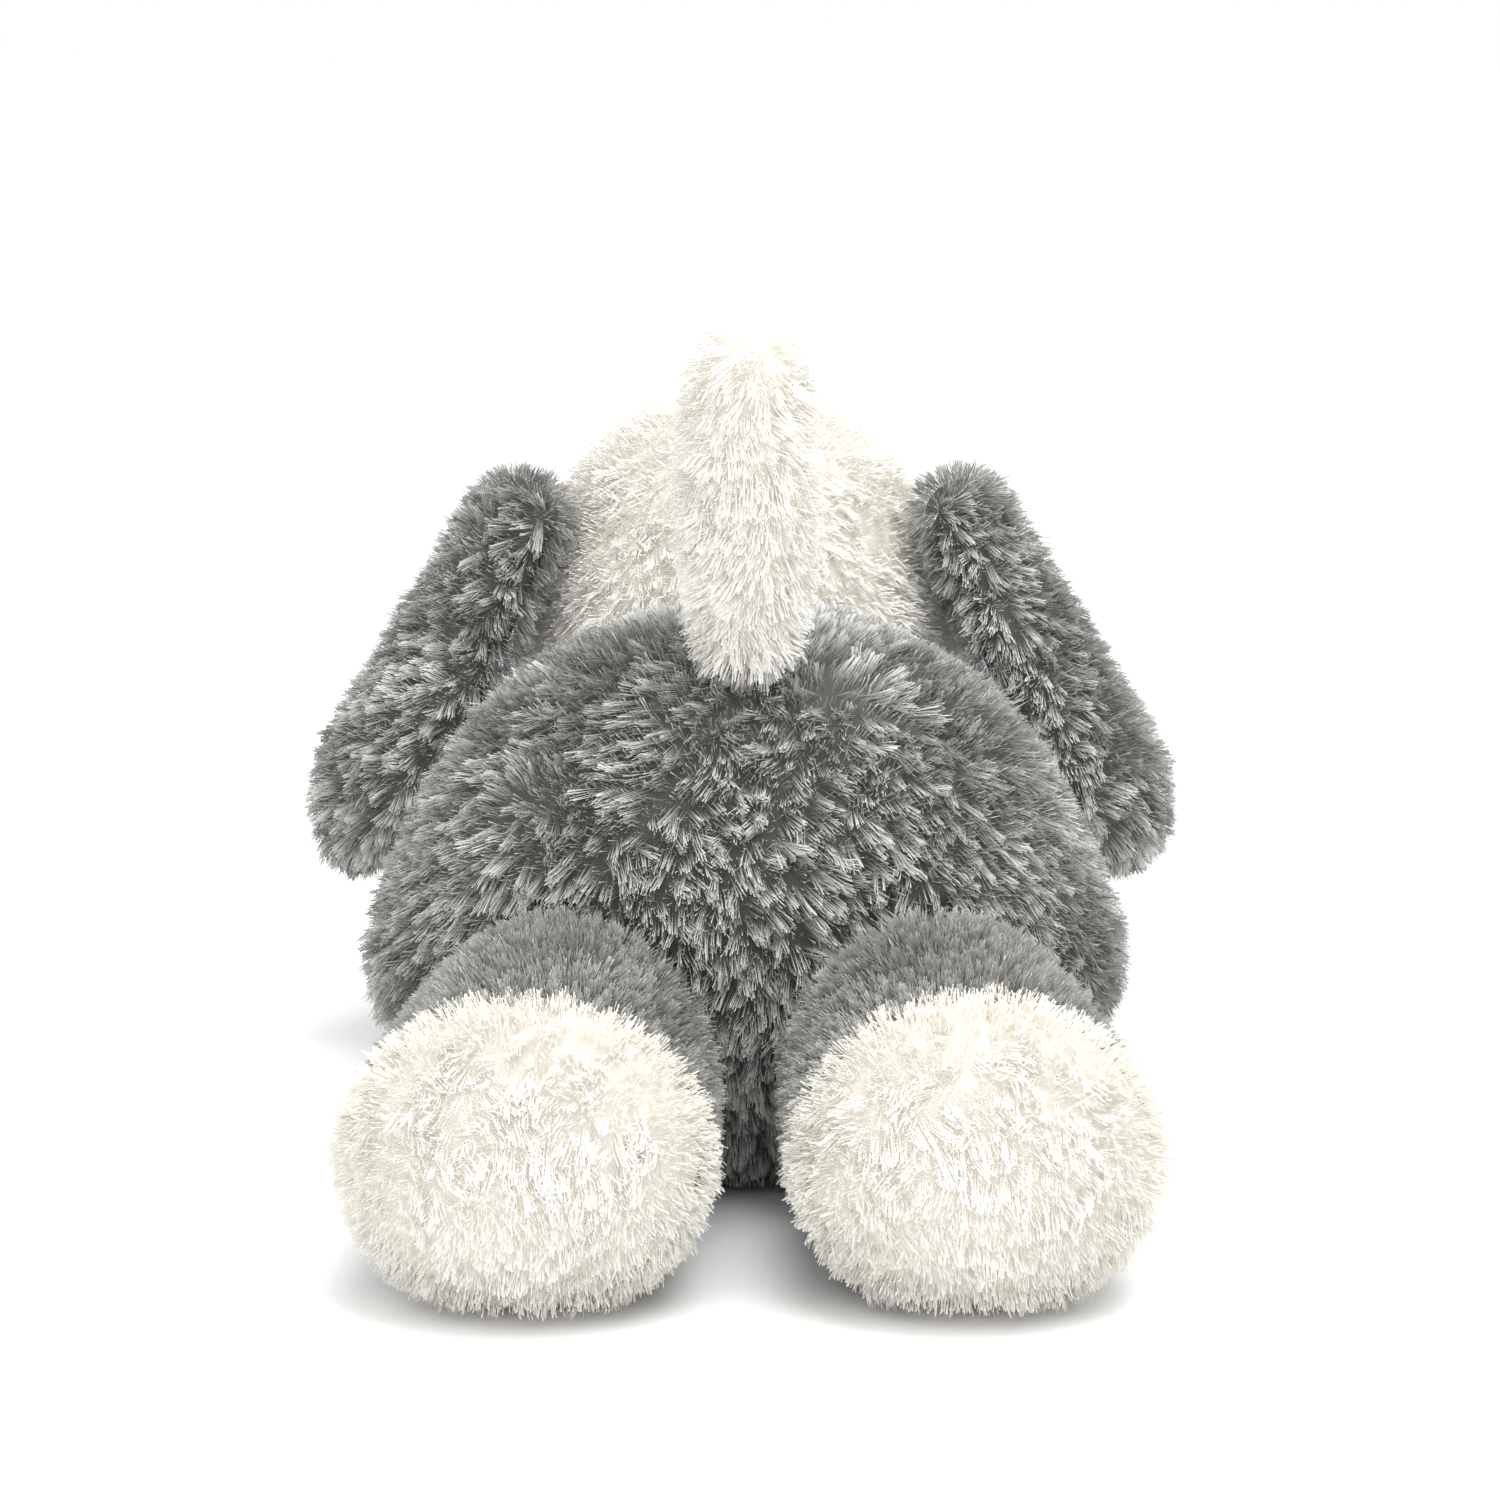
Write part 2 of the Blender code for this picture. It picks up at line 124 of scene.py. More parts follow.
class Wire:
    """A number on a shader's wires. Sums with it add Math nodes."""

    def __init__(self, tree: NodeTree, socket: NodeSocket) -> None:
        """Hold one output socket of a node tree."""
        self.tree = tree
        self.socket = socket

    def _sum(self, operation: str, first: "Wire | float", second: "Wire | float") -> "Wire":
        """Add one Math node.

        Args:
            operation: Blender's name of the sum.
            first: The upper term.
            second: The lower term.

        Returns:
            The sum's result.
        """
        node = self.tree.nodes.new("ShaderNodeMath")
        node.operation = operation
        for socket, term in zip(node.inputs, (first, second)):
            if isinstance(term, Wire):
                self.tree.links.new(term.socket, socket)
            else:
                socket.default_value = term
        return Wire(self.tree, node.outputs[0])

    def __add__(self, other: "Wire | float") -> "Wire":
        """Give self + other."""
        return self._sum("ADD", self, other)

    __radd__ = __add__

    def __rsub__(self, other: "Wire | float") -> "Wire":
        """Give other - self."""
        return self._sum("SUBTRACT", other, self)

    def __mul__(self, other: "Wire | float") -> "Wire":
        """Give self * other."""
        return self._sum("MULTIPLY", self, other)

    __rmul__ = __mul__

    def __pow__(self, other: float) -> "Wire":
        """Give self to a power."""
        return self._sum("POWER", self, other)


class Recipe:
    """Wires the nodes of one material or of the world."""

    def __init__(self, tree: NodeTree) -> None:
        """Hold the node tree that is wired."""
        self.tree = tree

    @property
    def shader(self) -> Node:
        """The material's Principled shader."""
        return self.tree.nodes["Principled BSDF"]

    def node(self, kind: str, settings: dict | None = None, **inputs: object) -> Node:
        """Add any node.

        Args:
            kind: The node's type.
            settings: Attributes that are set before the sockets.
            inputs: Socket names, with _ for a space, and their values, wires or sockets.

        Returns:
            The new node.
        """
        node = self.tree.nodes.new(kind)
        for key, value in (settings or {}).items():
            setattr(node, key, value)
        for key, value in inputs.items():
            self.feed(node.inputs[key.replace("_", " ")], value)
        return node

    def feed(self, socket: NodeSocket, value: object) -> None:
        """Link a wire or a socket, or set a plain value.

        Args:
            socket: The input.
            value: What goes into it.
        """
        if isinstance(value, Wire):
            value = value.socket
        if isinstance(value, NodeSocket):
            self.tree.links.new(value, socket)
        else:
            socket.default_value = value

    def wire(self, socket: NodeSocket) -> Wire:
        """Wrap an output socket for sums."""
        return Wire(self.tree, socket)

    def blend(self, factor: object, first: object, second: object) -> NodeSocket:
        """Mix two colours.

        Args:
            factor: How much of the second one shows.
            first: A colour or a socket.
            second: A colour or a socket.

        Returns:
            The mixed colour's socket.
        """
        node = self.node("ShaderNodeMix", {"data_type": "RGBA"}, Factor=factor)
        self.feed(node.inputs[6], first)
        self.feed(node.inputs[7], second)
        return node.outputs[2]

    def place(self) -> NodeSocket:
        """The surface's place in metres."""
        return self.node("ShaderNodeTexCoord").outputs["Object"]

    def noise(self, size: float, detail: float = 3.0) -> Wire:
        """A cloudy value about 0.5, with blotches of a size in metres."""
        node = self.node("ShaderNodeTexNoise", Vector=self.place(), Scale=1 / size, Detail=detail)
        return self.wire(node.outputs["Fac"])

    def bump(self, height: Wire, distance: float, strength: float) -> None:
        """Roughen the surface by a height in shares of a distance."""
        node = self.node("ShaderNodeBump", Height=height, Distance=distance, Strength=strength)
        self.feed(self.shader.inputs["Normal"], node.outputs["Normal"])

    def dress(self, **inputs: object) -> None:
        """Set or link sockets of the shader."""
        for key, value in inputs.items():
            self.feed(self.shader.inputs[key.replace("_", " ")], value)


def rgba(colour: Sequence[float]) -> tuple[float, float, float, float]:
    """Give a linear colour its alpha."""
    return (colour[0], colour[1], colour[2], 1.0)


def new_material(name: str) -> Material:
    """Start a material with a bare Principled shader.

    Args:
        name: Its name.

    Returns:
        The material.
    """
    material = bpy.data.materials.new(name)
    material.use_nodes = True
    return material


@dataclass(frozen=True)
class Finish:
    """What a piece is made of, and a slot name that nothing in this script reads."""

    name: str
    slot: str

    @cache
    def material(self) -> Material:
        """Make the finish's one material at the first call.

        Returns:
            The material, wired.
        """
        material = new_material(self.name)
        self.wire(Recipe(material.node_tree))
        return material

    def wire(self, recipe: Recipe) -> None:
        """Wire the material's nodes."""
        raise NotImplementedError


@dataclass(frozen=True)
class PileFinish(Finish):
    """Long pile, faded from a dark root to a light tip and toned strand by strand through its UV map; the
    dark root is painted shade deep in the pile.
    """

    ROOT_FADE = 0.6
    TONE_DEPTH = 0.85
    ROOT_ROUGHNESS = 0.15

    root: Colour
    shank: Colour
    tip: Colour
    shade: Colour
    roughness: float
    sheen: float

    def wire(self, recipe: Recipe) -> None:
        """Fade from root to tip along v, with the dark root as painted shade deep in the pile, and blend to
        the shade colour where the tone in u is low, which paints shade at lock edges and on the undercoat as
        well as random tone.

        Args:
            recipe: The material's nodes.
        """
        uv = recipe.node("ShaderNodeUVMap", {"uv_map": UV_NAME})
        parts = recipe.node("ShaderNodeSeparateXYZ", Vector=uv.outputs["UV"])
        tone, along = recipe.wire(parts.outputs["X"]), recipe.wire(parts.outputs["Y"])
        # Painted shade: the colour darkens towards the root, where the pile lies deep in shade.
        lower = recipe.blend(along**self.ROOT_FADE, rgba(self.root), rgba(self.shank))
        whole = recipe.blend(along * along, lower, rgba(self.tip))
        # Painted shade: low tones, lowered at lock edges and on the undercoat, blend towards the dark shade
        # colour.
        recipe.dress(
            Base_Color=recipe.blend((1 - tone) * self.TONE_DEPTH, whole, rgba(self.shade)),
            Roughness=self.roughness + (1 - along) * self.ROOT_ROUGHNESS,
            Sheen_Weight=self.sheen,
            Sheen_Roughness=0.45,
            Specular_IOR_Level=0.35,
        )


@dataclass(frozen=True)
class ClothFinish(Finish):
    """Knitted backing, set back by a depth under the pile's tips, or plain woven cloth."""

    colour: Colour
    dark: Colour
    stitch: float
    depth: float = 0.0

    def wire(self, recipe: Recipe) -> None:
        """Rib the cloth along its stitches.

        Args:
            recipe: The material's nodes.
        """
        bands = {"bands_direction": "DIAGONAL"}
        ribs = recipe.node("ShaderNodeTexWave", bands, Vector=recipe.place(), Scale=1 / self.stitch)
        rib, cloud = recipe.wire(ribs.outputs["Fac"]), recipe.noise(self.stitch * 6)
        recipe.dress(
            Base_Color=recipe.blend(rib * 0.5 + cloud * 0.5, rgba(self.dark), rgba(self.colour)),
            Roughness=0.85 + cloud * 0.15,
        )
        recipe.bump(rib, self.stitch / 2, 0.6)


@dataclass(frozen=True)
class FibreFinish(Finish):
    """Loose white filling fibre."""

    colour: Colour
    dark: Colour
    curl: float

    def wire(self, recipe: Recipe) -> None:
        """Cloud and roughen the wad by its curls.

        Args:
            recipe: The material's nodes.
        """
        strands = recipe.noise(self.curl, detail=6.0)
        recipe.dress(
            Base_Color=recipe.blend(strands, rgba(self.dark), rgba(self.colour)),
            Roughness=0.9 + strands * 0.1,
        )
        recipe.bump(strands, self.curl / 2, 0.8)


@dataclass(frozen=True)
class PlasticFinish(Finish):
    """Moulded plastic with the faint clouding of handling."""

    colour: Colour
    scuffed: Colour
    roughness: float
    grain: float
    coat: float

    def wire(self, recipe: Recipe) -> None:
        """Cloud the plastic by its grain.

        Args:
            recipe: The material's nodes.
        """
        cloud = recipe.noise(self.grain)
        recipe.dress(
            Base_Color=recipe.blend(cloud, rgba(self.colour), rgba(self.scuffed)),
            Roughness=self.roughness + cloud * 0.1,
            Coat_Weight=self.coat,
        )
        recipe.bump(cloud, self.grain / 20, 0.1)


# Painted shade: the dark root and shade colours stand for the shade deep in the pile and between its locks.
GREY_PILE = PileFinish(
    name="grey_pile",
    slot="grey_pile",
    root=(0.060, 0.057, 0.051),
    shank=(0.418, 0.418, 0.395),
    tip=(0.720, 0.722, 0.684),
    shade=(0.080, 0.077, 0.070),
    roughness=0.55,
    sheen=1.0,
)
# Painted shade: the warmer, darker root and shade colours stand for warm shade deep in the pile and between
# its locks.
CREAM_PILE = PileFinish(
    name="cream_pile",
    slot="cream_pile",
    root=(0.92, 0.88, 0.79),
    shank=(0.95, 0.935, 0.89),
    tip=(0.955, 0.945, 0.915),
    shade=(0.93, 0.90, 0.82),
    roughness=0.60,
    sheen=0.3,
)
# Painted shade: this backing is much darker than the grey pile, so that it shows as shade deep in the pile
# between the locks.
GREY_BACKING = ClothFinish(
    "grey_backing", "grey_pile", (0.12, 0.116, 0.107), (0.07, 0.067, 0.061), stitch=0.0012, depth=0.0029
)
CREAM_BACKING = ClothFinish(
    "cream_backing", "cream_pile", (0.93, 0.90, 0.83), (0.90, 0.86, 0.77), stitch=0.0012, depth=0.0024
)
POUCH_CLOTH = ClothFinish("pouch_cloth", "pouch_cloth", (0.75, 0.74, 0.70), (0.55, 0.54, 0.50), 0.0009)
FIBRE = FibreFinish("filling_fibre", "fibre", (0.92, 0.92, 0.90), (0.70, 0.70, 0.68), 0.004)
EYE_PLASTIC = PlasticFinish(
    "eye_plastic", "black_plastic", (0.010, 0.009, 0.009), (0.016, 0.014, 0.012), 0.06, 0.004, 0.2
)
NOSE_PLASTIC = PlasticFinish(
    "nose_plastic", "nose_plastic", (0.018, 0.016, 0.015), (0.030, 0.027, 0.025), 0.32, 0.0015, 0.2
)
WASHER_PLASTIC = PlasticFinish(
    "washer_plastic", "washer_plastic", (0.80, 0.80, 0.78), (0.70, 0.70, 0.68), 0.45, 0.002, 0.0
)


def placed(name: str, data: ID) -> Object:
    """Link a new object to the scene.

    Args:
        name: Its name.
        data: The mesh, lamp or camera that it holds.

    Returns:
        The object.
    """
    item = bpy.data.objects.new(name, data)
    bpy.context.scene.collection.objects.link(item)
    return item


def add_object(name: str, mesh: Mesh, body: str, finish: Finish) -> Object:
    """Link a finished mesh as a piece that rides on a body.

    Args:
        name: The piece's name.
        mesh: Its mesh, already in place and smooth or flat as it should be.
        body: The CAD body that carries it.
        finish: What it is made of.

    Returns:
        The piece.
    """
    mesh.materials.append(finish.material())
    piece = placed(name, mesh)
    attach(piece, body)
    return piece


def to_mesh(name: str, bm: bmesh.types.BMesh) -> Mesh:
    """Turn a bmesh into a smooth mesh and free it.

    Args:
        name: The mesh's name.
        bm: What it is made from.

    Returns:
        The mesh.
    """
    mesh = bpy.data.meshes.new(name)
    bm.to_mesh(mesh)
    bm.free()
    mesh.shade_smooth()
    return mesh


def unit(vectors: Array) -> Array:
    """Scale vectors to length 1 along the last axis."""
    return vectors / np.maximum(np.linalg.norm(vectors, axis=-1, keepdims=True), 1e-12)


def turned(way: Array, normals: Array, angle: Array) -> Array:
    """Turn directions along the skin about its normals, by angles in radians."""
    return way * np.cos(angle)[:, None] + np.cross(normals, way) * np.sin(angle)[:, None]


def laid_flat(way: Array, normals: Array) -> Array:
    """Lay directions along the skin."""
    return unit(way - normals * (way * normals).sum(axis=1, keepdims=True))


@dataclass(frozen=True)
class Ball:
    """An ellipsoid that a soft form is drawn around."""

    centre: Vector
    radii: Vector
    turn: Matrix = Matrix.Identity(3)

    def matrix(self) -> Matrix:
        """The transform that takes a unit sphere to this ball."""
        return Matrix.Translation(self.centre) @ self.turn.to_4x4() @ Matrix.Diagonal((*self.radii, 1))


class Form:
    """The taut skin around some balls, as arrays to sow pile on and to test points against."""

    FACETS = {"u_segments": 32, "v_segments": 16}
    MOST_AT_ONCE = 4096

    def __init__(self, balls: Sequence[Ball]) -> None:
        """Draw the hull.

        Args:
            balls: What the skin is drawn around.
        """
        bm = bmesh.new()
        for ball in balls:
            bmesh.ops.create_uvsphere(bm, **self.FACETS, radius=1, matrix=ball.matrix())
        bmesh.ops.delete(bm, geom=bm.edges[:], context="EDGES_FACES")
        hull = bmesh.ops.convex_hull(bm, input=bm.verts[:])
        left_over = set(hull["geom_interior"] + hull["geom_unused"])
        inner = [item for item in left_over if isinstance(item, bmesh.types.BMVert)]
        bmesh.ops.delete(bm, geom=inner, context="VERTS")
        bmesh.ops.recalc_face_normals(bm, faces=bm.faces[:])
        bm.verts.index_update()
        self.corners = np.array([vertex.co for vertex in bm.verts])
        triangles = np.array([[vertex.index for vertex in face.verts] for face in bm.faces])
        self.triangles = self.ordered(triangles)
        bm.free()
        first, second, third = (self.corners[column] for column in self.triangles.T)
        sides = np.cross(second - first, third - first)
        self.areas = np.linalg.norm(sides, axis=1) / 2
        self.facings = unit(sides)
        self.offsets = (first * self.facings).sum(axis=1)
        self.normals = np.zeros_like(self.corners)
        for column in self.triangles.T:
            np.add.at(self.normals, column, sides)
        self.normals = unit(self.normals)

    @staticmethod
    def ordered(triangles: Array) -> Array:
        """Sort triangles by their corners, because the hull gives them in another order on each run.

        Args:
            triangles: Indices of corners.

        Returns:
            The same triangles, each from its lowest corner on.
        """
        turns = (triangles.argmin(axis=1)[:, None] + np.arange(3)) % 3
        triangles = np.take_along_axis(triangles, turns, axis=1)
        return triangles[np.lexsort(triangles.T[::-1])]

    def sow(self, per_square_metre: float, rng: np.random.Generator) -> tuple[Array, Array]:
        """Scatter points evenly over the skin.

        Args:
            per_square_metre: How thickly.
            rng: The source of chance.

        Returns:
            The points and the skin's normals there.
        """
        count = int(self.areas.sum() * per_square_metre)
        chosen = rng.choice(len(self.areas), count, p=self.areas / self.areas.sum())
        shares = rng.random((count, 2))
        over = shares.sum(axis=1) > 1
        shares[over] = 1 - shares[over]
        weights = np.column_stack([1 - shares.sum(axis=1), shares])[:, :, None]
        points = (self.corners[self.triangles[chosen]] * weights).sum(axis=1)
        normals = unit((self.normals[self.triangles[chosen]] * weights).sum(axis=1))
        return points, normals

    def heights(self, points: Array) -> Array:
        """How far points lie outside each facet's plane."""
        return points @ self.facings.T - self.offsets

    def depth(self, points: Array) -> Array:
        """How far points lie outside the form, below zero inside it."""
        parts = np.array_split(points, max(1, len(points) // self.MOST_AT_ONCE))
        return np.concatenate([self.heights(part).max(axis=1) for part in parts])

    def ways_out(self, points: Array) -> Array:
        """The form's outward direction nearest each point."""
        return self.facings[self.heights(points).argmax(axis=1)]


class Swirl:
    """A smooth cloudy value in space, for the wandering of the pile."""

    WAVES = 14

    def __init__(self, size: float, seed: int) -> None:
        """Draw some waves of about one length in random directions.

        Args:
            size: About how long they are.
            seed: The start of their chance.
        """
        rng = np.random.default_rng(seed)
        pitch = 2 * math.pi / size * rng.uniform(0.7, 1.4, (self.WAVES, 1))
        self.waves = unit(rng.normal(size=(self.WAVES, 3))) * pitch
        self.phases = rng.uniform(0, 2 * math.pi, self.WAVES)

    def at(self, points: Array) -> Array:
        """The value at each point, mostly within -1 and 1."""
        return np.sin(points @ self.waves.T + self.phases).sum(axis=1) / math.sqrt(self.WAVES)


class StrandPattern:
    """One closed strand of three sides, thin at its root and blunt at its cut tip, made once and repeated."""

    def __init__(self) -> None:
        """Make a thin upturned cone with one side facing out, and keep its points as shares of its length."""
        bm = bmesh.new()
        stand = Matrix.Translation(UP / 2) @ Matrix.Rotation(math.pi, 4, "Z")
        bmesh.ops.create_cone(bm, cap_ends=True, segments=3, radius1=0, radius2=1, depth=1, matrix=stand)
        bmesh.ops.remove_doubles(bm, verts=bm.verts[:], dist=1e-6)
        bmesh.ops.recalc_face_normals(bm, faces=bm.faces[:])
        bm.verts.index_update()
        self.along = np.array([vertex.co.z for vertex in bm.verts])
        self.angle = np.array([math.atan2(vertex.co.y, vertex.co.x) for vertex in bm.verts])
        self.faces = [[vertex.index for vertex in face.verts] for face in bm.faces]
        self.triangles = sum(len(face) - 2 for face in self.faces)
        self.tip = int(self.along.argmax())
        bm.free()

    def uv(self) -> Array:
        """UV of each face's corners, with u across one strand and v from root to tip.

        Returns:
            One row for each corner.
        """
        places = []
        for face in self.faces:
            steps = np.linspace(0, 1, len(face))
            if self.along[face].min() == 1:
                places.extend(zip(steps[::-1] ** 2, 1 - steps * 0.02))
            else:
                places.extend(zip(steps, self.along[face]))
        return np.array(places)


STRAND = StrandPattern()


@dataclass(frozen=True)
class Cut:
    """How a pile is cut and how it lies. Lengths in metres, angles in radians."""

    per_square_metre: float = 2_050_000
    height: float = 0.0064
    width: float = 0.000135
    lean: float = math.radians(42)
    lock: float = 0.0033
    gather: float = 0.26
    swirl: float = 0.75
    scatter: float = 0.32
    seat: float = 0.0040
    crown: float = 0.26
    dome: float = 0.50
    relief: float = 0.25
    # Painted shade: how much darker strands grow towards their lock's edge, between the locks.
    edge_shade: float = 0.30
    undercoat: float = 0.30


CREAM_CUT = Cut(
    height=0.0050,
    width=0.00017,
    lock=0.0030,
    gather=0.20,
    swirl=0.55,
    seat=0.0028,
    dome=0.12,
    relief=0.1,
    edge_shade=0.12,
    undercoat=0.36,
)


@dataclass(frozen=True)
class Whorl:
    """A spot that the pile parts round."""

    centre: Triple
    radius: float


@dataclass(frozen=True)
class Locks:
    """The tufts that a pile's strands gather into."""

    centres: Array
    normals: Array
    ways: Array
    lengths: Array
    leans: Array
    tones: Array


class Pile:
    """Combs and plants one pile on a form."""

    MOST_TRIANGLES = 190_000
    FLOOR = 0.0010
    UV_MARGIN = 0.01
    WANDER = 0.6
    COMB_PULL, LEAST_PULL = 1.3, 0.25
    LEAN_WAVE, LEAN_SPREAD, STRAND_LEAN_SPREAD = 0.14, 0.12, 0.06
    WAVE_SHIFT = 1.3
    LEANS = (0.10, 1.15)
    LEAN_STRETCH = 0.8
    LOCK_LENGTHS, STRAND_LENGTHS, UNDER_LENGTHS = (0.88, 1.12), (0.90, 1.08), (0.70, 0.95)
    LOCK_TONE, LOCK_TONE_SPREAD, CLOUD_TONE = 0.62, 0.16, 0.10
    # The last value is painted shade: how much darker the undercoat is, lying under the top coat.
    STRAND_TONE, STRAND_TONE_SPREAD, UNDER_TONE = 0.14, 0.08, 0.12
    LOCK_RADIUS, FARTHEST_EDGE, EDGE_TRIM = 0.56, 1.4, 0.16
    STRAY, UNDER_STRAY, UNDER_LEAN = 0.09, 0.9, 0.3
    GATHER_CURVE = 1.3
    BEND, DROOP = 0.28, 0.30
    FLATNESS = 0.5
    WIDE_SWIRL, SMALL_SWIRL, CLOUD = 0.050, 0.018, 0.030

    def __init__(self, form: Form, cut: Cut, guide: Guide, seed: int) -> None:
        """Hold what the pile stands on and how it lies.

        Args:
            form: The skin just under the pile's tips.
            cut: Its cut.
            guide: Gives the way that the pile is combed at each point.
            seed: The start of its chance.
        """
        self.form = form
        self.cut = cut
        self.guide = guide
        self.rng = np.random.default_rng(seed)
        self.wide_swirl = Swirl(self.WIDE_SWIRL, seed + 1)
        self.small_swirl = Swirl(self.SMALL_SWIRL, seed + 2)
        self.cloud = Swirl(self.CLOUD, seed + 3)

    def make_locks(self, points: Array, normals: Array) -> Locks:
        """Choose where the tufts stand and how each one lies.

        Args:
            points: Every strand's place on the skin.
            normals: The skin's normals there.

        Returns:
            The tufts.
        """
        cut, rng = self.cut, self.rng
        count = max(1, int(len(points) / (cut.per_square_metre * cut.lock**2)))
        chosen = rng.choice(len(points), count, replace=False)
        centres, normals = points[chosen], normals[chosen]
        wide, small = self.wide_swirl.at(centres), self.small_swirl.at(centres)
        wander = cut.swirl * (self.WANDER * wide + self.WANDER * small)
        combed = np.array(self.guide(centres), float)
        combed -= normals * (combed * normals).sum(axis=1, keepdims=True)
        pull = np.clip(self.COMB_PULL * np.linalg.norm(combed, axis=1), self.LEAST_PULL, 1.0)
        ways = turned(unit(combed), normals, wander + rng.normal(0, cut.scatter, count))
        lift = self.LEAN_WAVE * self.small_swirl.at(centres * self.WAVE_SHIFT)
        lift = lift + rng.normal(0, self.LEAN_SPREAD, count)
        leans = np.clip(cut.lean * pull + lift, *self.LEANS)
        lengths = cut.height / np.cos(leans) ** self.LEAN_STRETCH * rng.uniform(*self.LOCK_LENGTHS, count)
        tones = self.LOCK_TONE + rng.uniform(-self.LOCK_TONE_SPREAD, self.LOCK_TONE_SPREAD, count)
        return Locks(centres, normals, ways, lengths, leans, tones + self.CLOUD_TONE * self.cloud.at(centres))

    def grow(self, keep: Keep) -> tuple[Array, Array, Array]:
        """Grow every strand.

        Args:
            keep: Tells which roots stay.

        Returns:
            The strands' points, the directions that they are shaded by, and each strand's tone from 0 to 1.
        """
        cut, rng = self.cut, self.rng
        points, normals = self.form.sow(cut.per_square_metre, rng)
        wanted = keep(points)
        points, normals = points[wanted], normals[wanted]
        locks = self.make_locks(points, normals)
        tree = kdtree.KDTree(len(locks.centres))
        for index, centre in enumerate(locks.centres):
            tree.insert(centre, index)
        tree.balance()
        own = np.array([tree.find(point)[1] for point in points])

        count = len(points)
        offset = (points - locks.centres[own]) / (self.LOCK_RADIUS * cut.lock)
        edge = np.minimum(np.linalg.norm(offset, axis=1), self.FARTHEST_EDGE) ** 2
        under = rng.random(count) < cut.undercoat
        stray = rng.normal(0, np.where(under, self.UNDER_STRAY, self.STRAY))
        way = turned(laid_flat(locks.ways[own], normals), normals, stray)
        lean = locks.leans[own] + cut.crown * edge + rng.normal(0, self.STRAND_LEAN_SPREAD, count)
        lean[under] *= self.UNDER_LEAN
        length = locks.lengths[own] * (1 - self.EDGE_TRIM * edge) * rng.uniform(*self.STRAND_LENGTHS, count)
        length[under] = cut.height * rng.uniform(*self.UNDER_LENGTHS, under.sum())
        spine = self.curves(points - normals * cut.seat, normals, way, length, lean)
        roots = locks.centres - locks.normals * cut.seat
        leaders = self.curves(roots, locks.normals, locks.ways, locks.lengths, locks.leans)
        along = STRAND.along[None, :, None] ** self.GATHER_CURVE
        pull = np.where(under, 0.0, cut.gather)[:, None, None] * along
        spine += pull * (leaders[own] - spine)
        # Painted shade: strands are darker towards their lock's edge, between the locks, and on the undercoat
        # that lies under the top coat.
        tones = locks.tones[own] - cut.edge_shade * edge - self.UNDER_TONE * under
        tones = tones + rng.normal(self.STRAND_TONE, self.STRAND_TONE_SPREAD, count)
        facing = unit(normals + cut.dome * offset)
        return *self.flesh_out(spine, facing, np.cross(normals, way)), np.clip(tones, 0.0, 1.0)

    def curves(self, roots: Array, normals: Array, way: Array, length: Array, lean: Array) -> Array:
        """The middle line of each strand at the pattern's points.

        Args:
            roots: Where the strands start.
            normals: The skin's normals there.
            way: The combed directions.
            length: Each strand's length.
            lean: Each strand's angle from its normal.

        Returns:
            An array of strands by pattern points by 3.
        """
        share = STRAND.along[None, :, None]
        forward = np.sin(lean)[:, None, None] * ((1 - self.BEND) * share + self.BEND * share**2)
        height = np.cos(lean)[:, None, None] * ((1 + self.DROOP) * share - self.DROOP * share**2)
        return roots[:, None] + length[:, None, None] * (forward * way[:, None] + height * normals[:, None])

    def flesh_out(self, spine: Array, normals: Array, across: Array) -> tuple[Array, Array]:
        """Give each middle line its three sides, and keep it above the floor.

        Sides that face out are shaded mostly as the skin under them, so that a lock looks soft.

        Args:
            spine: The middle lines.
            normals: The skin's normals.
            across: Directions along the skin, square to the strands.

        Returns:
            The strands' points and the directions that their faces are shaded by.
        """
        share = STRAND.along
        side = np.cos(STRAND.angle)[None, :, None] * across[:, None]
        side = side + self.FLATNESS * np.sin(STRAND.angle)[None, :, None] * normals[:, None]
        points = spine + self.cut.width * share[None, :, None] * side
        points[:, :, 2] = np.maximum(points[:, :, 2], self.FLOOR * (0.5 + share))
        first, second, third = (points[:, [face[corner] for face in STRAND.faces]] for corner in range(3))
        facets = unit(np.cross(second - first, third - first))
        outward = np.clip(2 * (facets * normals[:, None]).sum(axis=2, keepdims=True), 0, 1)
        soft = outward * (1 - self.cut.relief)
        return points, unit(facets * (1 - soft) + normals[:, None] * soft)

    def plant(self, name: str, body: str, finish: PileFinish, keep: Keep) -> None:
        """Grow the pile and make its pieces.

        Args:
            name: The pieces' name, to which a number is added.
            body: The CAD body that carries them.
            finish: What the pile is made of.
            keep: Tells which roots stay.
        """
        strands, shading, tones = self.grow(keep)
        order = np.argsort(strands[:, STRAND.tip, 1], kind="stable")
        parts = math.ceil(len(order) * STRAND.triangles / self.MOST_TRIANGLES)
        for number, chosen in enumerate(np.array_split(order, parts), 1):
            mesh = self.weave(f"{name}_{number}", strands[chosen], shading[chosen], tones[chosen])
            add_object(f"{name}_{number}", mesh, body, finish)
        LOG.info("%s: %d strands in %d pieces", name, len(order), parts)

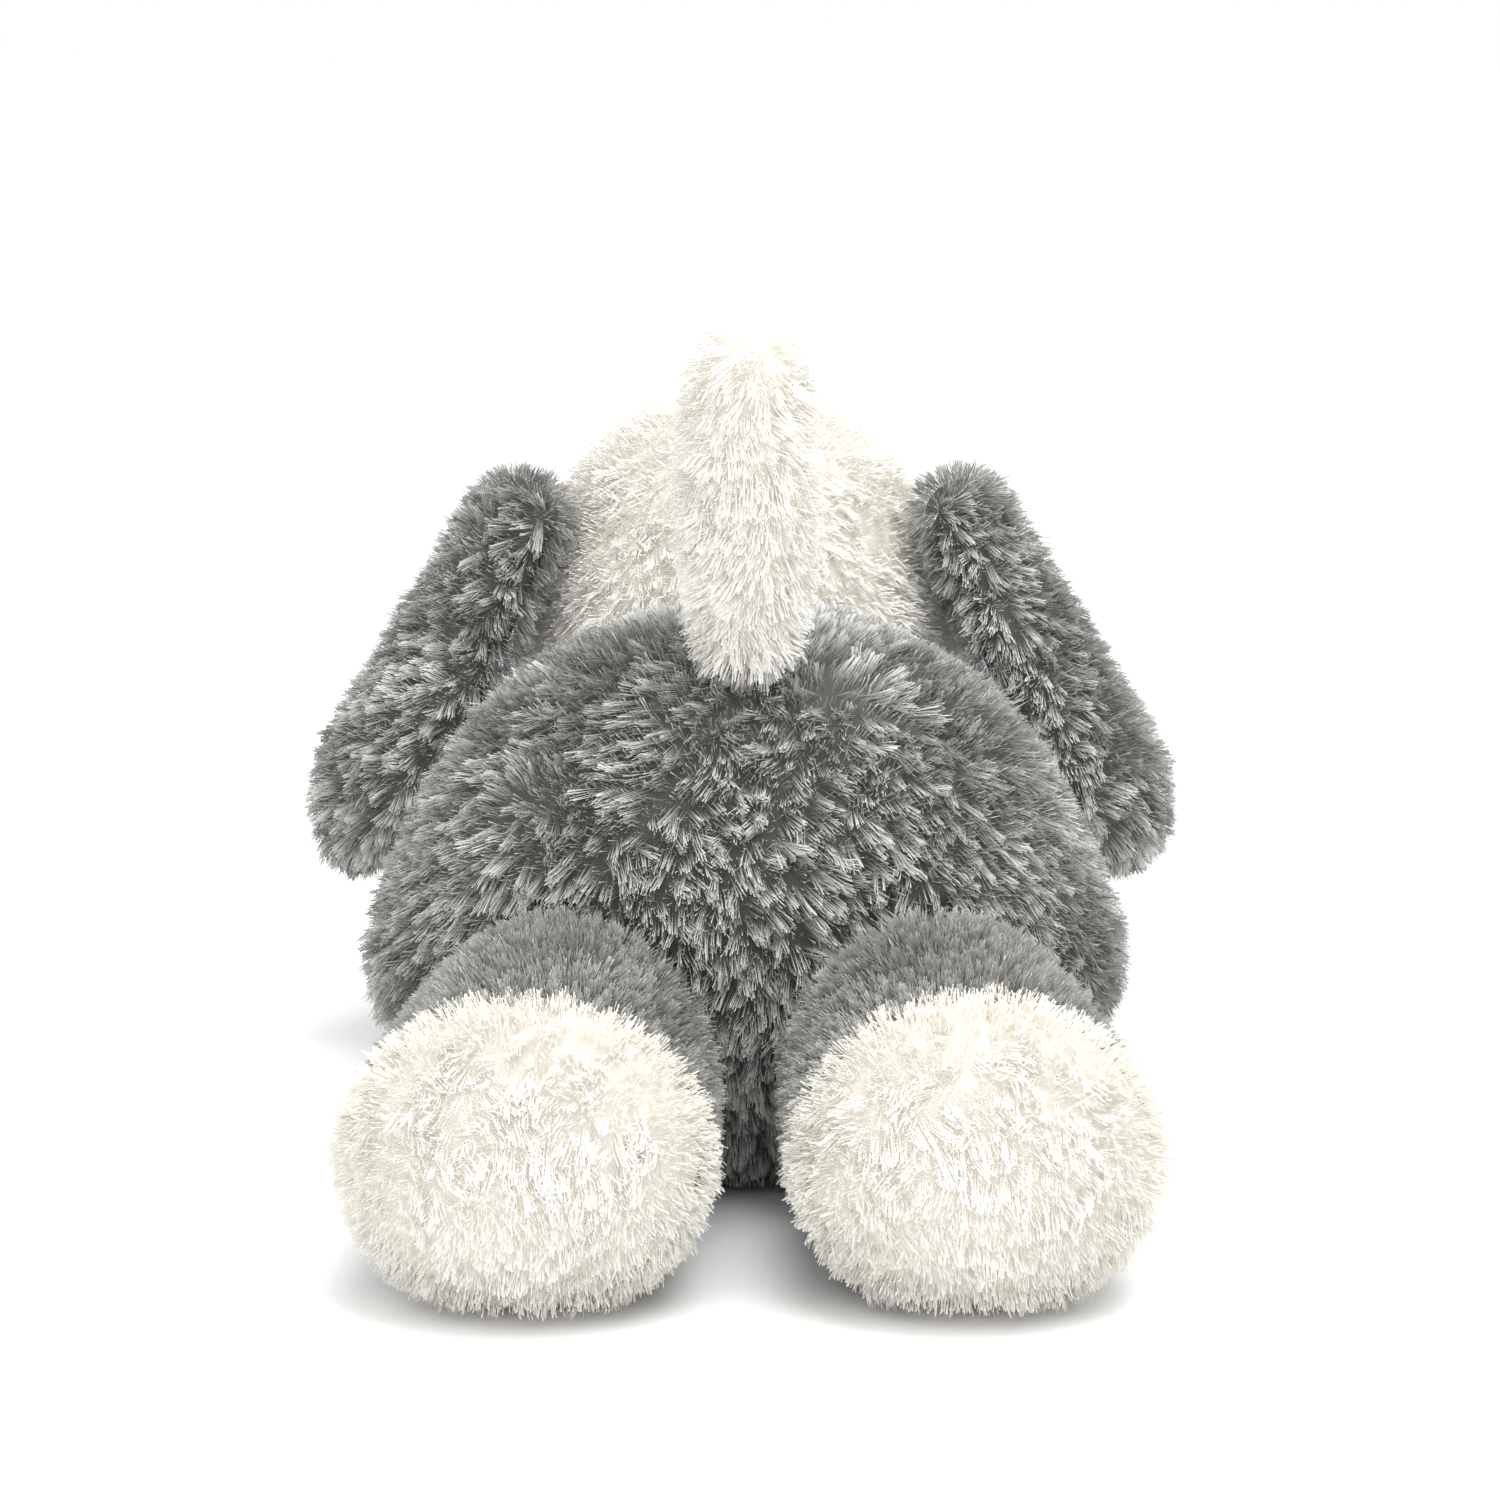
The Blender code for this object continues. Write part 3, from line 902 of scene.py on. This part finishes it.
    def weave(self, name: str, strands: Array, shading: Array, tones: Array) -> Mesh:
        """Repeat the strand pattern at every strand.

        Args:
            name: The mesh's name.
            strands: The strands' points.
            shading: The directions that their faces are shaded by.
            tones: The strands' tones.

        Returns:
            One mesh of all of them, with its UV map.
        """
        count, points = strands.shape[:2]
        sizes = np.array([len(face) for face in STRAND.faces])
        loops = np.concatenate(STRAND.faces)
        corner = (loops[None] + np.arange(count)[:, None] * points).ravel()
        starts = np.cumsum(sizes) - sizes
        starts = (starts[None] + np.arange(count)[:, None] * len(loops)).ravel()
        mesh = bpy.data.meshes.new(name)
        mesh.vertices.add(count * points)
        mesh.vertices.foreach_set("co", strands.astype(np.float32).ravel())
        mesh.loops.add(len(corner))
        mesh.loops.foreach_set("vertex_index", corner.astype(np.int32))
        mesh.polygons.add(len(starts))
        mesh.polygons.foreach_set("loop_start", starts.astype(np.int32))
        mesh.update(calc_edges=True)
        pattern = STRAND.uv()
        spread = np.empty((count, len(pattern), 2), np.float32)
        margin = self.UV_MARGIN
        spread[:, :, 0] = (margin + (1 - 3 * margin) * tones)[:, None] + pattern[None, :, 0] * margin
        spread[:, :, 1] = margin + (1 - 2 * margin) * pattern[None, :, 1]
        mesh.uv_layers.new(name=UV_NAME).uv.foreach_set("vector", spread.ravel())
        mesh.shade_smooth()
        sharp = mesh.attributes.new("sharp_edge", "BOOLEAN", "EDGE")
        sharp.data.foreach_set("value", np.ones(len(mesh.edges), bool))
        facing = mesh.attributes.new("custom_normal", "FLOAT_VECTOR", "CORNER")
        facing.data.foreach_set("vector", np.repeat(shading, sizes, axis=1).astype(np.float32).ravel())
        return mesh


def steady(way: Sequence[float]) -> Guide:
    """Comb everything one way."""
    return lambda points: np.broadcast_to(np.array(way, float), points.shape)


def parted(guide: Guide, whorls: Sequence[Whorl]) -> Guide:
    """Comb outwards round some whorls, and by another guide elsewhere.

    Args:
        guide: The way elsewhere.
        whorls: The spots.

    Returns:
        The joined guide.
    """

    def comb(points: Array) -> Array:
        """Mix the guides by distance.

        Args:
            points: Places on the skin.

        Returns:
            The way at each one.
        """
        way = unit(np.array(guide(points), float))
        for whorl in whorls:
            away = points - np.array(whorl.centre)
            distance = np.linalg.norm(away, axis=1, keepdims=True)
            share = np.exp(-((distance / whorl.radius) ** 2))
            way = way * (1 - share) + away / np.maximum(distance, whorl.radius / 2) * share
        return way

    return comb


class SoftBody:
    """What every sewn body of the dog shares: covers and wads."""

    OUTER_SKIN = 0.0012
    WELD = 1e-6

    def cover(self, node: str, body: str, form: Form, finish: ClothFinish, fill: float) -> None:
        """Make a cover's cloth backing from its CAD solid, set back under the pile's tips.

        Args:
            node: The CAD node that it stands for.
            body: The CAD body that carries it.
            form: The form whose skin is at the pile's tips.
            finish: Its cloth.
            fill: How tightly it is stuffed; not used.
        """
        bm = self.copy_of(node)
        places = np.array([vertex.co for vertex in bm.verts])
        outer = form.depth(places) > -self.OUTER_SKIN
        for vertex, is_outer, way in zip(bm.verts, outer, form.ways_out(places)):
            if is_outer:
                vertex.co -= Vector(way) * finish.depth
                vertex.co.z = max(vertex.co.z, 0.0)
        piece = add_object(f"{node}_backing", to_mesh(f"{node}_backing", bm), body, finish)
        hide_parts(node)

    def wad(self, node: str, body: str, finish: FibreFinish | ClothFinish, lump: float, size: float) -> None:
        """Make a lumpy filling from its CAD solid, never larger than it.

        Args:
            node: The CAD node that it stands for.
            body: The CAD body that carries it.
            finish: What it is made of.
            lump: The depth of its dents.
            size: The width of its dents.
        """
        bm = self.copy_of(node)
        bmesh.ops.subdivide_edges(bm, edges=bm.edges[:], cuts=1, use_grid_fill=True)
        bmesh.ops.triangulate(bm, faces=bm.faces[:])
        bm.normal_update()
        places = np.array([vertex.co for vertex in bm.verts])
        dents = lump * np.clip(0.5 + 0.5 * Swirl(size, len(node)).at(places), 0, 1)
        for vertex, dent in zip(bm.verts, dents):
            vertex.co -= vertex.normal * dent
        piece = add_object(f"{node}_filling", to_mesh(f"{node}_filling", bm), body, finish)
        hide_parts(node)

    def copy_of(self, node: str) -> bmesh.types.BMesh:
        """A merged copy of a CAD node's mesh.

        Args:
            node: The CAD node.

        Returns:
            The copy, for the caller to free.
        """
        bm = bmesh.new()
        bm.from_mesh(frame["nodes"][node].data)
        bmesh.ops.remove_doubles(bm, verts=bm.verts[:], dist=self.WELD)
        return bm


@dataclass(frozen=True)
class Shape:
    """The dog's soft forms, in the frame of the CAD solids."""

    middle: float = -0.02619
    rump_lift: float = 0.058
    rump_radius: float = 0.0695
    head_radius: float = 0.057
    crown_radius: float = 0.0505
    crown_lift: float = 0.0125
    ear_rise: float = math.radians(27)
    ear_setback: float = math.radians(20)
    ear_above_cheek: float = 0.016
    ear_length: float = 0.110
    seam_gap: float = 0.0008
    tail_rise: float = math.radians(66)
    tail_lean: float = math.radians(12)
    tail_standoff: float = 0.006
    tail_length: float = 0.059
    foot_press: float = 0.0015

    def at(self, x: float, y: float, z: float) -> Vector:
        """A place given from the point under the rump's middle."""
        return Vector((x, y + self.middle, z))

    def body(self) -> Form:
        """Rump, haunches, waist and chest.

        Returns:
            The body's form.
        """
        return Form(
            [
                Ball(self.at(0, 0, self.rump_lift), Vector((0.080, self.rump_radius, self.rump_radius))),
                Ball(self.at(0, 0, 0.047), Vector((0.088, 0.057, 0.049))),
                Ball(self.at(0, 0.0375, 0.052), Vector((0.077, 0.06375, 0.06375))),
                Ball(self.at(0, 0.075, 0.046), Vector((0.066, 0.050, 0.050))),
            ]
        )

    @property
    def head_centre(self) -> Vector:
        """The middle of the head."""
        return self.at(0, 0.132, 0.1015)

    def head(self) -> Form:
        """The round head with its high crown.

        Returns:
            The head's form.
        """
        return Form(
            [
                Ball(self.head_centre, ROUND * self.head_radius),
                Ball(self.head_centre + UP * self.crown_lift, ROUND * self.crown_radius),
            ]
        )

    def muzzle(self) -> Form:
        """The short muzzle, tipped up a little."""
        centre = self.head_centre + Vector((0, 0.047, -0.016))
        return Form([Ball(centre, Vector((0.031, 0.029, 0.023)), Matrix.Rotation(math.radians(12), 3, "X"))])

    def ear_axes(self, side: Side) -> tuple[Vector, Vector, Vector]:
        """An ear's own directions.

        Args:
            side: Which ear.

        Returns:
            Down the ear, along its hinge and outwards.
        """
        sideways = Vector((side.value * math.cos(self.ear_rise), 0, math.sin(self.ear_rise)))
        outward = sideways * math.cos(self.ear_setback) - Vector((0, math.sin(self.ear_setback), 0))
        downward = (outward * outward.z - UP).normalized()
        return downward, outward.cross(downward), outward

    def cheek(self, side: Side) -> Vector:
        """Where an ear lies against the head."""
        return self.head_centre + self.ear_axes(side)[2] * (self.head_radius + self.seam_gap)

    def ear(self, side: Side) -> Form:
        """One drooping ear.

        Args:
            side: Which ear.

        Returns:
            Its form, from the hinge to the flap.
        """
        downward, along, outward = self.ear_axes(side)
        turn = Matrix((downward, along, outward)).transposed()
        root, flap = Vector((0.0105, 0.020, 0.0105)), Vector((0.028, 0.028, 0.01575))
        hinge = self.cheek(side) - downward * self.ear_above_cheek
        return Form(
            [
                Ball(hinge + downward * root.x + outward * root.z, root, turn),
                Ball(hinge + downward * (self.ear_length - flap.x) + outward * flap.z, flap, turn),
            ]
        )

    @property
    def tail_root(self) -> Vector:
        """Where the tail is sewn on."""
        way = Vector((0, -math.cos(self.tail_rise), math.sin(self.tail_rise)))
        return self.at(0, 0, self.rump_lift) + way * (self.rump_radius + self.tail_standoff)

    @property
    def tail_way(self) -> Vector:
        """The tail's upward direction."""
        return Vector((0, -math.sin(self.tail_lean), math.cos(self.tail_lean)))

    def tail(self) -> Form:
        """The upright tail.

        Returns:
            Its form, fatter in the middle.
        """
        balls = []
        for share in np.linspace(0, 1, 5):
            radius = 0.012 + 0.001 * share + 0.0025 * math.sin(math.pi * share)
            centre = self.tail_root + self.tail_way * self.tail_length * share
            balls.append(Ball(centre, ROUND * radius))
        return Form(balls)


SHAPE = Shape()


class Neighbours:
    """Forms that a pile's roots keep out of, or reach into where a joint turns them out again."""

    LOWEST_ROOT = 0.0035
    TOUCH = 0.001
    TURNED_OUT = 0.014

    def __init__(self, forms: Sequence[Form], within: float = TOUCH) -> None:
        """Hold the forms and how far inside them a root may still stand."""
        self.forms = forms
        self.within = within

    def clear(self, points: Array) -> Array:
        """Which points stand clear of all the forms, and off the floor.

        Args:
            points: Where roots would stand.

        Returns:
            True for each point that is clear.
        """
        clear = points[:, 2] > self.LOWEST_ROOT
        for form in self.forms:
            clear &= form.depth(points) > -self.within
        return clear

    def split(self, past: Keep) -> tuple[Keep, Keep]:
        """Part the clear points at a seam.

        Args:
            past: Tells which points lie past the seam.

        Returns:
            Tests for clear points before the seam and past it.
        """
        return (
            lambda points: self.clear(points) & ~past(points),
            lambda points: self.clear(points) & past(points),
        )


@dataclass
class Trunk(SoftBody):
    """The body: cover, belly panel, stuffing and bean pouch."""

    cut: Cut = Cut()
    whorls: Sequence[Whorl] = (Whorl((0.022, -0.062, 0.112), 0.014), Whorl((-0.048, -0.066, 0.090), 0.012))
    down_and_back: Triple = (0.0, -0.45, -1.0)
    fan_radius: float = 0.050
    fan_pull: float = 1.3

    def build(self, neighbours: Neighbours) -> None:
        """Make the body's pieces.

        Args:
            neighbours: The forms of the head, tail and legs.
        """
        form = SHAPE.body()
        for node in ("body_cover", "belly_panel"):
            self.cover(node, "body", form, GREY_BACKING, fill=0.75)
        self.wad("body_stuffing", "body", FIBRE, lump=0.0016, size=0.018)
        self.wad("bean_pouch", "body", POUCH_CLOTH, lump=0.0010, size=0.006)
        guide = parted(self.comb, self.whorls)
        Pile(form, self.cut, guide, seed=11).plant("body_pile", "body", GREY_PILE, neighbours.clear)

    def comb(self, points: Array) -> Array:
        """Down and back, fanning out from the tail.

        Args:
            points: Places on the skin.

        Returns:
            The way at each one.
        """
        away = points - np.array(SHAPE.tail_root)
        near = np.exp(-((np.linalg.norm(away, axis=1, keepdims=True) / self.fan_radius) ** 2))
        return unit(np.array(self.down_and_back))[None] + self.fan_pull * near * unit(away)


@dataclass
class Head(SoftBody):
    """Head, muzzle, eyes and nose."""

    FITTINGS = {"eye_left": EYE_PLASTIC, "eye_right": EYE_PLASTIC, "nose": NOSE_PLASTIC}

    cut: Cut = CREAM_CUT
    muzzle_cut: Cut = replace(CREAM_CUT, height=0.0042, seat=0.0026)
    eye_clearing: float = 0.0085
    nose_clearing: float = 0.0120
    crown: Triple = (0, -0.006, 0.060)
    crown_calm: float = 0.012
    snout: Triple = (0, 0.060, -0.014)
    face_edge: float = 0.036
    face_blend: float = 0.006
    muzzle_comb: Triple = (0, -1, -0.35)

    def build(self, neighbours: Neighbours) -> None:
        """Make the head's pieces.

        Args:
            neighbours: The forms of the body and ears.
        """
        form, muzzle = SHAPE.head(), SHAPE.muzzle()
        self.cover("head_cover", "head", form, CREAM_BACKING, fill=0.85)
        self.cover("muzzle_cover", "head", muzzle, CREAM_BACKING, fill=0.85)
        self.wad("head_stuffing", "head", FIBRE, lump=0.0016, size=0.018)
        self.wad("muzzle_stuffing", "head", FIBRE, lump=0.0010, size=0.012)
        eyes = [self.middle_of("eye_left"), self.middle_of("eye_right")]
        nose = self.middle_of("nose")

        def on_head(points: Array) -> Array:
            """Clear of the neighbours, the muzzle and the eyes.

            Args:
                points: Places on the skin.

            Returns:
                True for each point that is clear.
            """
            clear = neighbours.clear(points) & (muzzle.depth(points) > -Neighbours.TOUCH)
            for eye in eyes:
                clear &= np.linalg.norm(points - eye, axis=1) > self.eye_clearing
            return clear

        def on_muzzle(points: Array) -> Array:
            """Clear of the head and the nose."""
            off_nose = np.linalg.norm(points - nose, axis=1) > self.nose_clearing
            return neighbours.clear(points) & (form.depth(points) > -Neighbours.TOUCH) & off_nose

        Pile(form, self.cut, self.comb, seed=21).plant("head_pile", "head", CREAM_PILE, on_head)
        back = steady(self.muzzle_comb)
        Pile(muzzle, self.muzzle_cut, back, seed=22).plant("muzzle_pile", "head", CREAM_PILE, on_muzzle)
        for node, finish in self.FITTINGS.items():
            self.fit(node, finish)
            for slot in frame["nodes"][f"{node}_washer"].material_slots:
                slot.material = WASHER_PLASTIC.material()

    def comb(self, points: Array) -> Array:
        """Outwards from the crown behind, and away from the snout on the face.

        Args:
            points: Places on the skin.

        Returns:
            The way at each one.
        """
        crown = np.array(SHAPE.head_centre) + np.array(self.crown)
        snout = np.array(SHAPE.head_centre) + np.array(self.snout)
        face = 1 / (1 + np.exp(-(points[:, 1:2] - snout[1] + self.face_edge) / self.face_blend))
        from_crown = points - crown
        reach = np.maximum(np.linalg.norm(from_crown, axis=1, keepdims=True), self.crown_calm)
        return from_crown / reach * (1 - face) + unit(points - snout) * face

    @staticmethod
    def middle_of(node: str) -> Array:
        """The middle of a CAD node's box."""
        low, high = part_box(node)
        return np.array((low + high) / 2)

    def fit(self, node: str, finish: PlasticFinish) -> None:
        """Round a CAD fitting off into a smooth moulded one.

        Args:
            node: The CAD node that it stands for.
            finish: Its plastic.
        """
        bm = self.copy_of(node)
        bmesh.ops.subdivide_edges(bm, edges=bm.edges[:], cuts=2, smooth=0.6, use_grid_fill=True)
        bmesh.ops.triangulate(bm, faces=bm.faces[:])
        piece = add_object(f"{node}_moulding", to_mesh(f"{node}_moulding", bm), "head", finish)
        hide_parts(node)


@dataclass
class Ear(SoftBody):
    """One drooping ear: padded outer cloth and lining."""

    side: Side
    lining: float = 0.0105
    overlap: float = 0.002
    cut: Cut = Cut(height=0.0062, lock=0.0038, scatter=0.40, seat=0.0040)
    lining_cut: Cut = Cut(per_square_metre=1_500_000, height=0.0060, seat=0.0030)
    backward: Triple = (0, -0.25, 0)
    whorl_out: float = 0.022
    whorl_down: float = 0.006
    whorl_radius: float = 0.014

    def build(self, neighbours: Neighbours) -> None:
        """Make the ear's pieces.

        Args:
            neighbours: The form of the head.
        """
        form, word = SHAPE.ear(self.side), self.side.word
        body = f"{word}_ear"
        for node in (f"ear_{word}", f"ear_lining_{word}"):
            self.cover(node, body, form, GREY_BACKING, fill=0.6)
        downward, _, outward = (np.array(axis) for axis in SHAPE.ear_axes(self.side))
        cheek = np.array(SHAPE.cheek(self.side))
        seam = self.lining - self.overlap
        inside, outside = neighbours.split(lambda points: (points - cheek) @ outward > seam)
        comb = steady(downward + np.array(self.backward))
        if self.side is Side.LEFT:
            crown = cheek + outward * self.whorl_out + downward * self.whorl_down
            comb = parted(comb, [Whorl(tuple(crown), self.whorl_radius)])
        seed = 40 + self.side.value
        Pile(form, self.cut, comb, seed).plant(f"ear_pile_{word}", body, GREY_PILE, outside)
        Pile(form, self.lining_cut, comb, seed + 5).plant(f"ear_lining_pile_{word}", body, GREY_PILE, inside)


@dataclass
class Tail(SoftBody):
    """The upright tail: cover and stuffing."""

    cut: Cut = replace(CREAM_CUT, height=0.0056)
    backward: Triple = (0.0, -0.1, 0.0)

    def build(self, neighbours: Neighbours) -> None:
        """Make the tail's pieces.

        Args:
            neighbours: The form of the body.
        """
        form = SHAPE.tail()
        self.cover("tail_cover", "tail", form, CREAM_BACKING, fill=0.7)
        self.wad("tail_stuffing", "tail", FIBRE, lump=0.0010, size=0.012)
        Pile(form, self.cut, self.comb, seed=31).plant("tail_pile", "tail", CREAM_PILE, neighbours.clear)

    def comb(self, points: Array) -> Array:
        """Down the tail from its upright tip."""
        return np.broadcast_to(np.array(self.backward) - np.array(SHAPE.tail_way), points.shape)


@dataclass
class Leg(SoftBody):
    """One leg: grey cover, pale paw and stuffing."""

    end: End
    side: Side
    root: Vector
    root_radius: float
    splay: float
    reach: float
    paw: Vector
    cuff: float
    overlap: float = 0.002
    raggedness: float = 0.0028
    cut: Cut = Cut(height=0.0060, lock=0.0026, lean=math.radians(30), dome=0.30, edge_shade=0.15)
    paw_cut: Cut = replace(CREAM_CUT, height=0.0054)
    comb_along: float = 0.8
    comb_down: Triple = (0, 0, -0.6)
    tuft: float = 0.008

    @property
    def way(self) -> Vector:
        """The leg's direction, towards the paw."""
        return Vector((self.side.value * math.sin(self.splay), self.end.value * math.cos(self.splay), 0))

    def form(self) -> Form:
        """The leg's form, from its root ball to its paw ball.

        Returns:
            The form.
        """
        centre = self.root + self.way * self.reach
        centre.z = self.paw.z - SHAPE.foot_press
        turn = self.way.to_track_quat("Y", "Z").to_matrix()
        return Form([Ball(self.root, ROUND * self.root_radius), Ball(centre, self.paw, turn)])

    def build(self, neighbours: Neighbours) -> None:
        """Make the leg's pieces.

        Args:
            neighbours: The form of the body.
        """
        form, word, end = self.form(), self.side.word, self.end.word
        body = f"{word}_{end}_leg"
        self.cover(f"{end}_leg_{word}", body, form, GREY_BACKING, fill=0.8)
        self.cover(f"{end}_paw_{word}", body, form, CREAM_BACKING, fill=0.8)
        self.wad(f"{end}_leg_{word}_stuffing", body, FIBRE, lump=0.0014, size=0.015)
        way, root = np.array(self.way), np.array(self.root)
        ragged = Swirl(self.tuft, seed=7)

        def past_cuff(points: Array) -> Array:
            """Which points lie past the cuff seam, which the grey pile overlaps raggedly."""
            return (points - root) @ way + self.raggedness * ragged.at(points) > self.cuff + self.overlap

        on_leg, on_paw = neighbours.split(past_cuff)
        comb = steady(self.comb_along * way + np.array(self.comb_down))
        seed = 60 + 10 * self.end.value + self.side.value
        Pile(form, self.cut, comb, seed).plant(f"{end}_leg_pile_{word}", body, GREY_PILE, on_leg)
        Pile(form, self.paw_cut, comb, seed + 4).plant(f"{end}_paw_pile_{word}", body, CREAM_PILE, on_paw)


@dataclass
class Studio:
    """Floor, soft light and camera."""

    lens_pixels: float = 5000
    image_pixels: float = 1500
    sensor: float = 36
    camera_place: Triple = (-0.0109, -1.1604, 0.295)
    pitch: float = math.radians(10.05)
    yaw: float = math.radians(0.6)
    sky: float = 1.02
    floor_white: float = 1.0
    lamp_size: float = 1.0
    lamp_target: Triple = (0, 0, 0.06)

    def build(self) -> None:
        """Make the whole stage."""
        self.lay_floor()
        self.light_sky()
        self.hang_lamp("key_lamp", (0.25, -0.30, 1.25), power=15.0)
        self.hang_lamp("fill_lamp", (0.10, -1.20, 0.85), power=3.8)
        self.set_camera()

    def lay_floor(self) -> None:
        """A pale floor that keeps the shadow and shows white to the camera."""
        bm = bmesh.new()
        bmesh.ops.create_grid(bm, x_segments=8, y_segments=8, size=6)
        floor = placed("floor", to_mesh("floor", bm))
        material = new_material("floor_paper")
        recipe = Recipe(material.node_tree)
        paper = recipe.blend(recipe.noise(0.4), rgba((0.86, 0.86, 0.86)), rgba((0.88, 0.88, 0.88)))
        shown = rgba((self.floor_white,) * 3)
        recipe.dress(
            Base_Color=recipe.blend(self.seen(recipe), paper, shown), Roughness=0.9, Specular_IOR_Level=0.1
        )
        floor.data.materials.append(material)
        floor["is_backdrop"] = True

    @staticmethod
    def seen(recipe: Recipe) -> Wire:
        """1 on rays that show the background, straight, mirrored or through glass.

        Args:
            recipe: The nodes that need it.

        Returns:
            The value.
        """
        path = recipe.node("ShaderNodeLightPath")
        names = ("Is Camera Ray", "Is Glossy Ray", "Is Transmission Ray")
        camera, glossy, through = (recipe.wire(path.outputs[name]) for name in names)
        return 1 - (1 - camera) * (1 - glossy) * (1 - through)

    def light_sky(self) -> None:
        """White to the camera, and an even soft light on the object."""
        world = bpy.data.worlds.new("studio_sky")
        bpy.context.scene.world = world
        world.use_nodes = True
        recipe = Recipe(world.node_tree)
        background = world.node_tree.nodes["Background"]
        recipe.feed(background.inputs["Color"], rgba((1, 1, 1)))
        recipe.feed(background.inputs["Strength"], self.seen(recipe) * (1 - self.sky) + self.sky)

    def hang_lamp(self, name: str, place: Sequence[float], power: float) -> None:
        """Hang one square soft lamp.

        Args:
            name: Its name.
            place: Where it hangs.
            power: Its power in watts.
        """
        data = bpy.data.lights.new(name, "AREA")
        data.size = self.lamp_size
        data.energy = power
        lamp = placed(name, data)
        lamp.location = place
        lamp.rotation_euler = (Vector(self.lamp_target) - Vector(place)).to_track_quat("-Z", "Y").to_euler()

    def set_camera(self) -> None:
        """Stand the camera where the photograph was taken from."""
        data = bpy.data.cameras.new("photo_camera")
        data.sensor_width = self.sensor
        data.lens = self.lens_pixels / self.image_pixels * self.sensor
        camera = placed("photo_camera", data)
        camera.location = self.camera_place
        camera.rotation_euler = (math.pi / 2 - self.pitch, 0, -self.yaw)
        bpy.context.scene.camera = camera


def make_legs() -> list[Leg]:
    """The four legs.

    Returns:
        Hind legs first.
    """
    hind = {"root_radius": 0.0345, "splay": math.radians(5), "reach": 0.062, "cuff": 0.0535}
    front = {"root_radius": 0.024, "splay": math.radians(13), "reach": 0.062, "cuff": 0.054}
    legs = []
    for side in Side:
        hip, paw = Vector((side.value * 0.0415, -0.09454, 0.034)), Vector((0.039, 0.031, 0.033))
        legs.append(Leg(End.HIND, side, hip, paw=paw, **hind))
    for side in Side:
        shoulder, paw = Vector((side.value * 0.046, 0.09422, 0.027)), Vector((0.029, 0.028, 0.026))
        legs.append(Leg(End.FRONT, side, shoulder, paw=paw, **front))
    return legs


def main() -> None:
    """Build every piece of the dog and the studio."""
    logging.basicConfig(level=logging.INFO, format="%(message)s")
    bpy.context.scene.view_settings.view_transform = "Standard"
    body, head, tail = SHAPE.body(), SHAPE.head(), SHAPE.tail()
    ears = [SHAPE.ear(side) for side in Side]
    legs = make_legs()
    Studio().build()
    Trunk().build(Neighbours([head, tail, *(leg.form() for leg in legs)]))
    Head().build(Neighbours([body, *ears], within=Neighbours.TURNED_OUT))
    for side in Side:
        Ear(side).build(Neighbours([head]))
    Tail().build(Neighbours([body]))
    for leg in legs:
        leg.build(Neighbours([body], within=Neighbours.TURNED_OUT))
    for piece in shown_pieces():
        LOG.info("%s: %d faces", piece.name, len(piece.data.polygons))


if __name__ == "__main__":
    main()
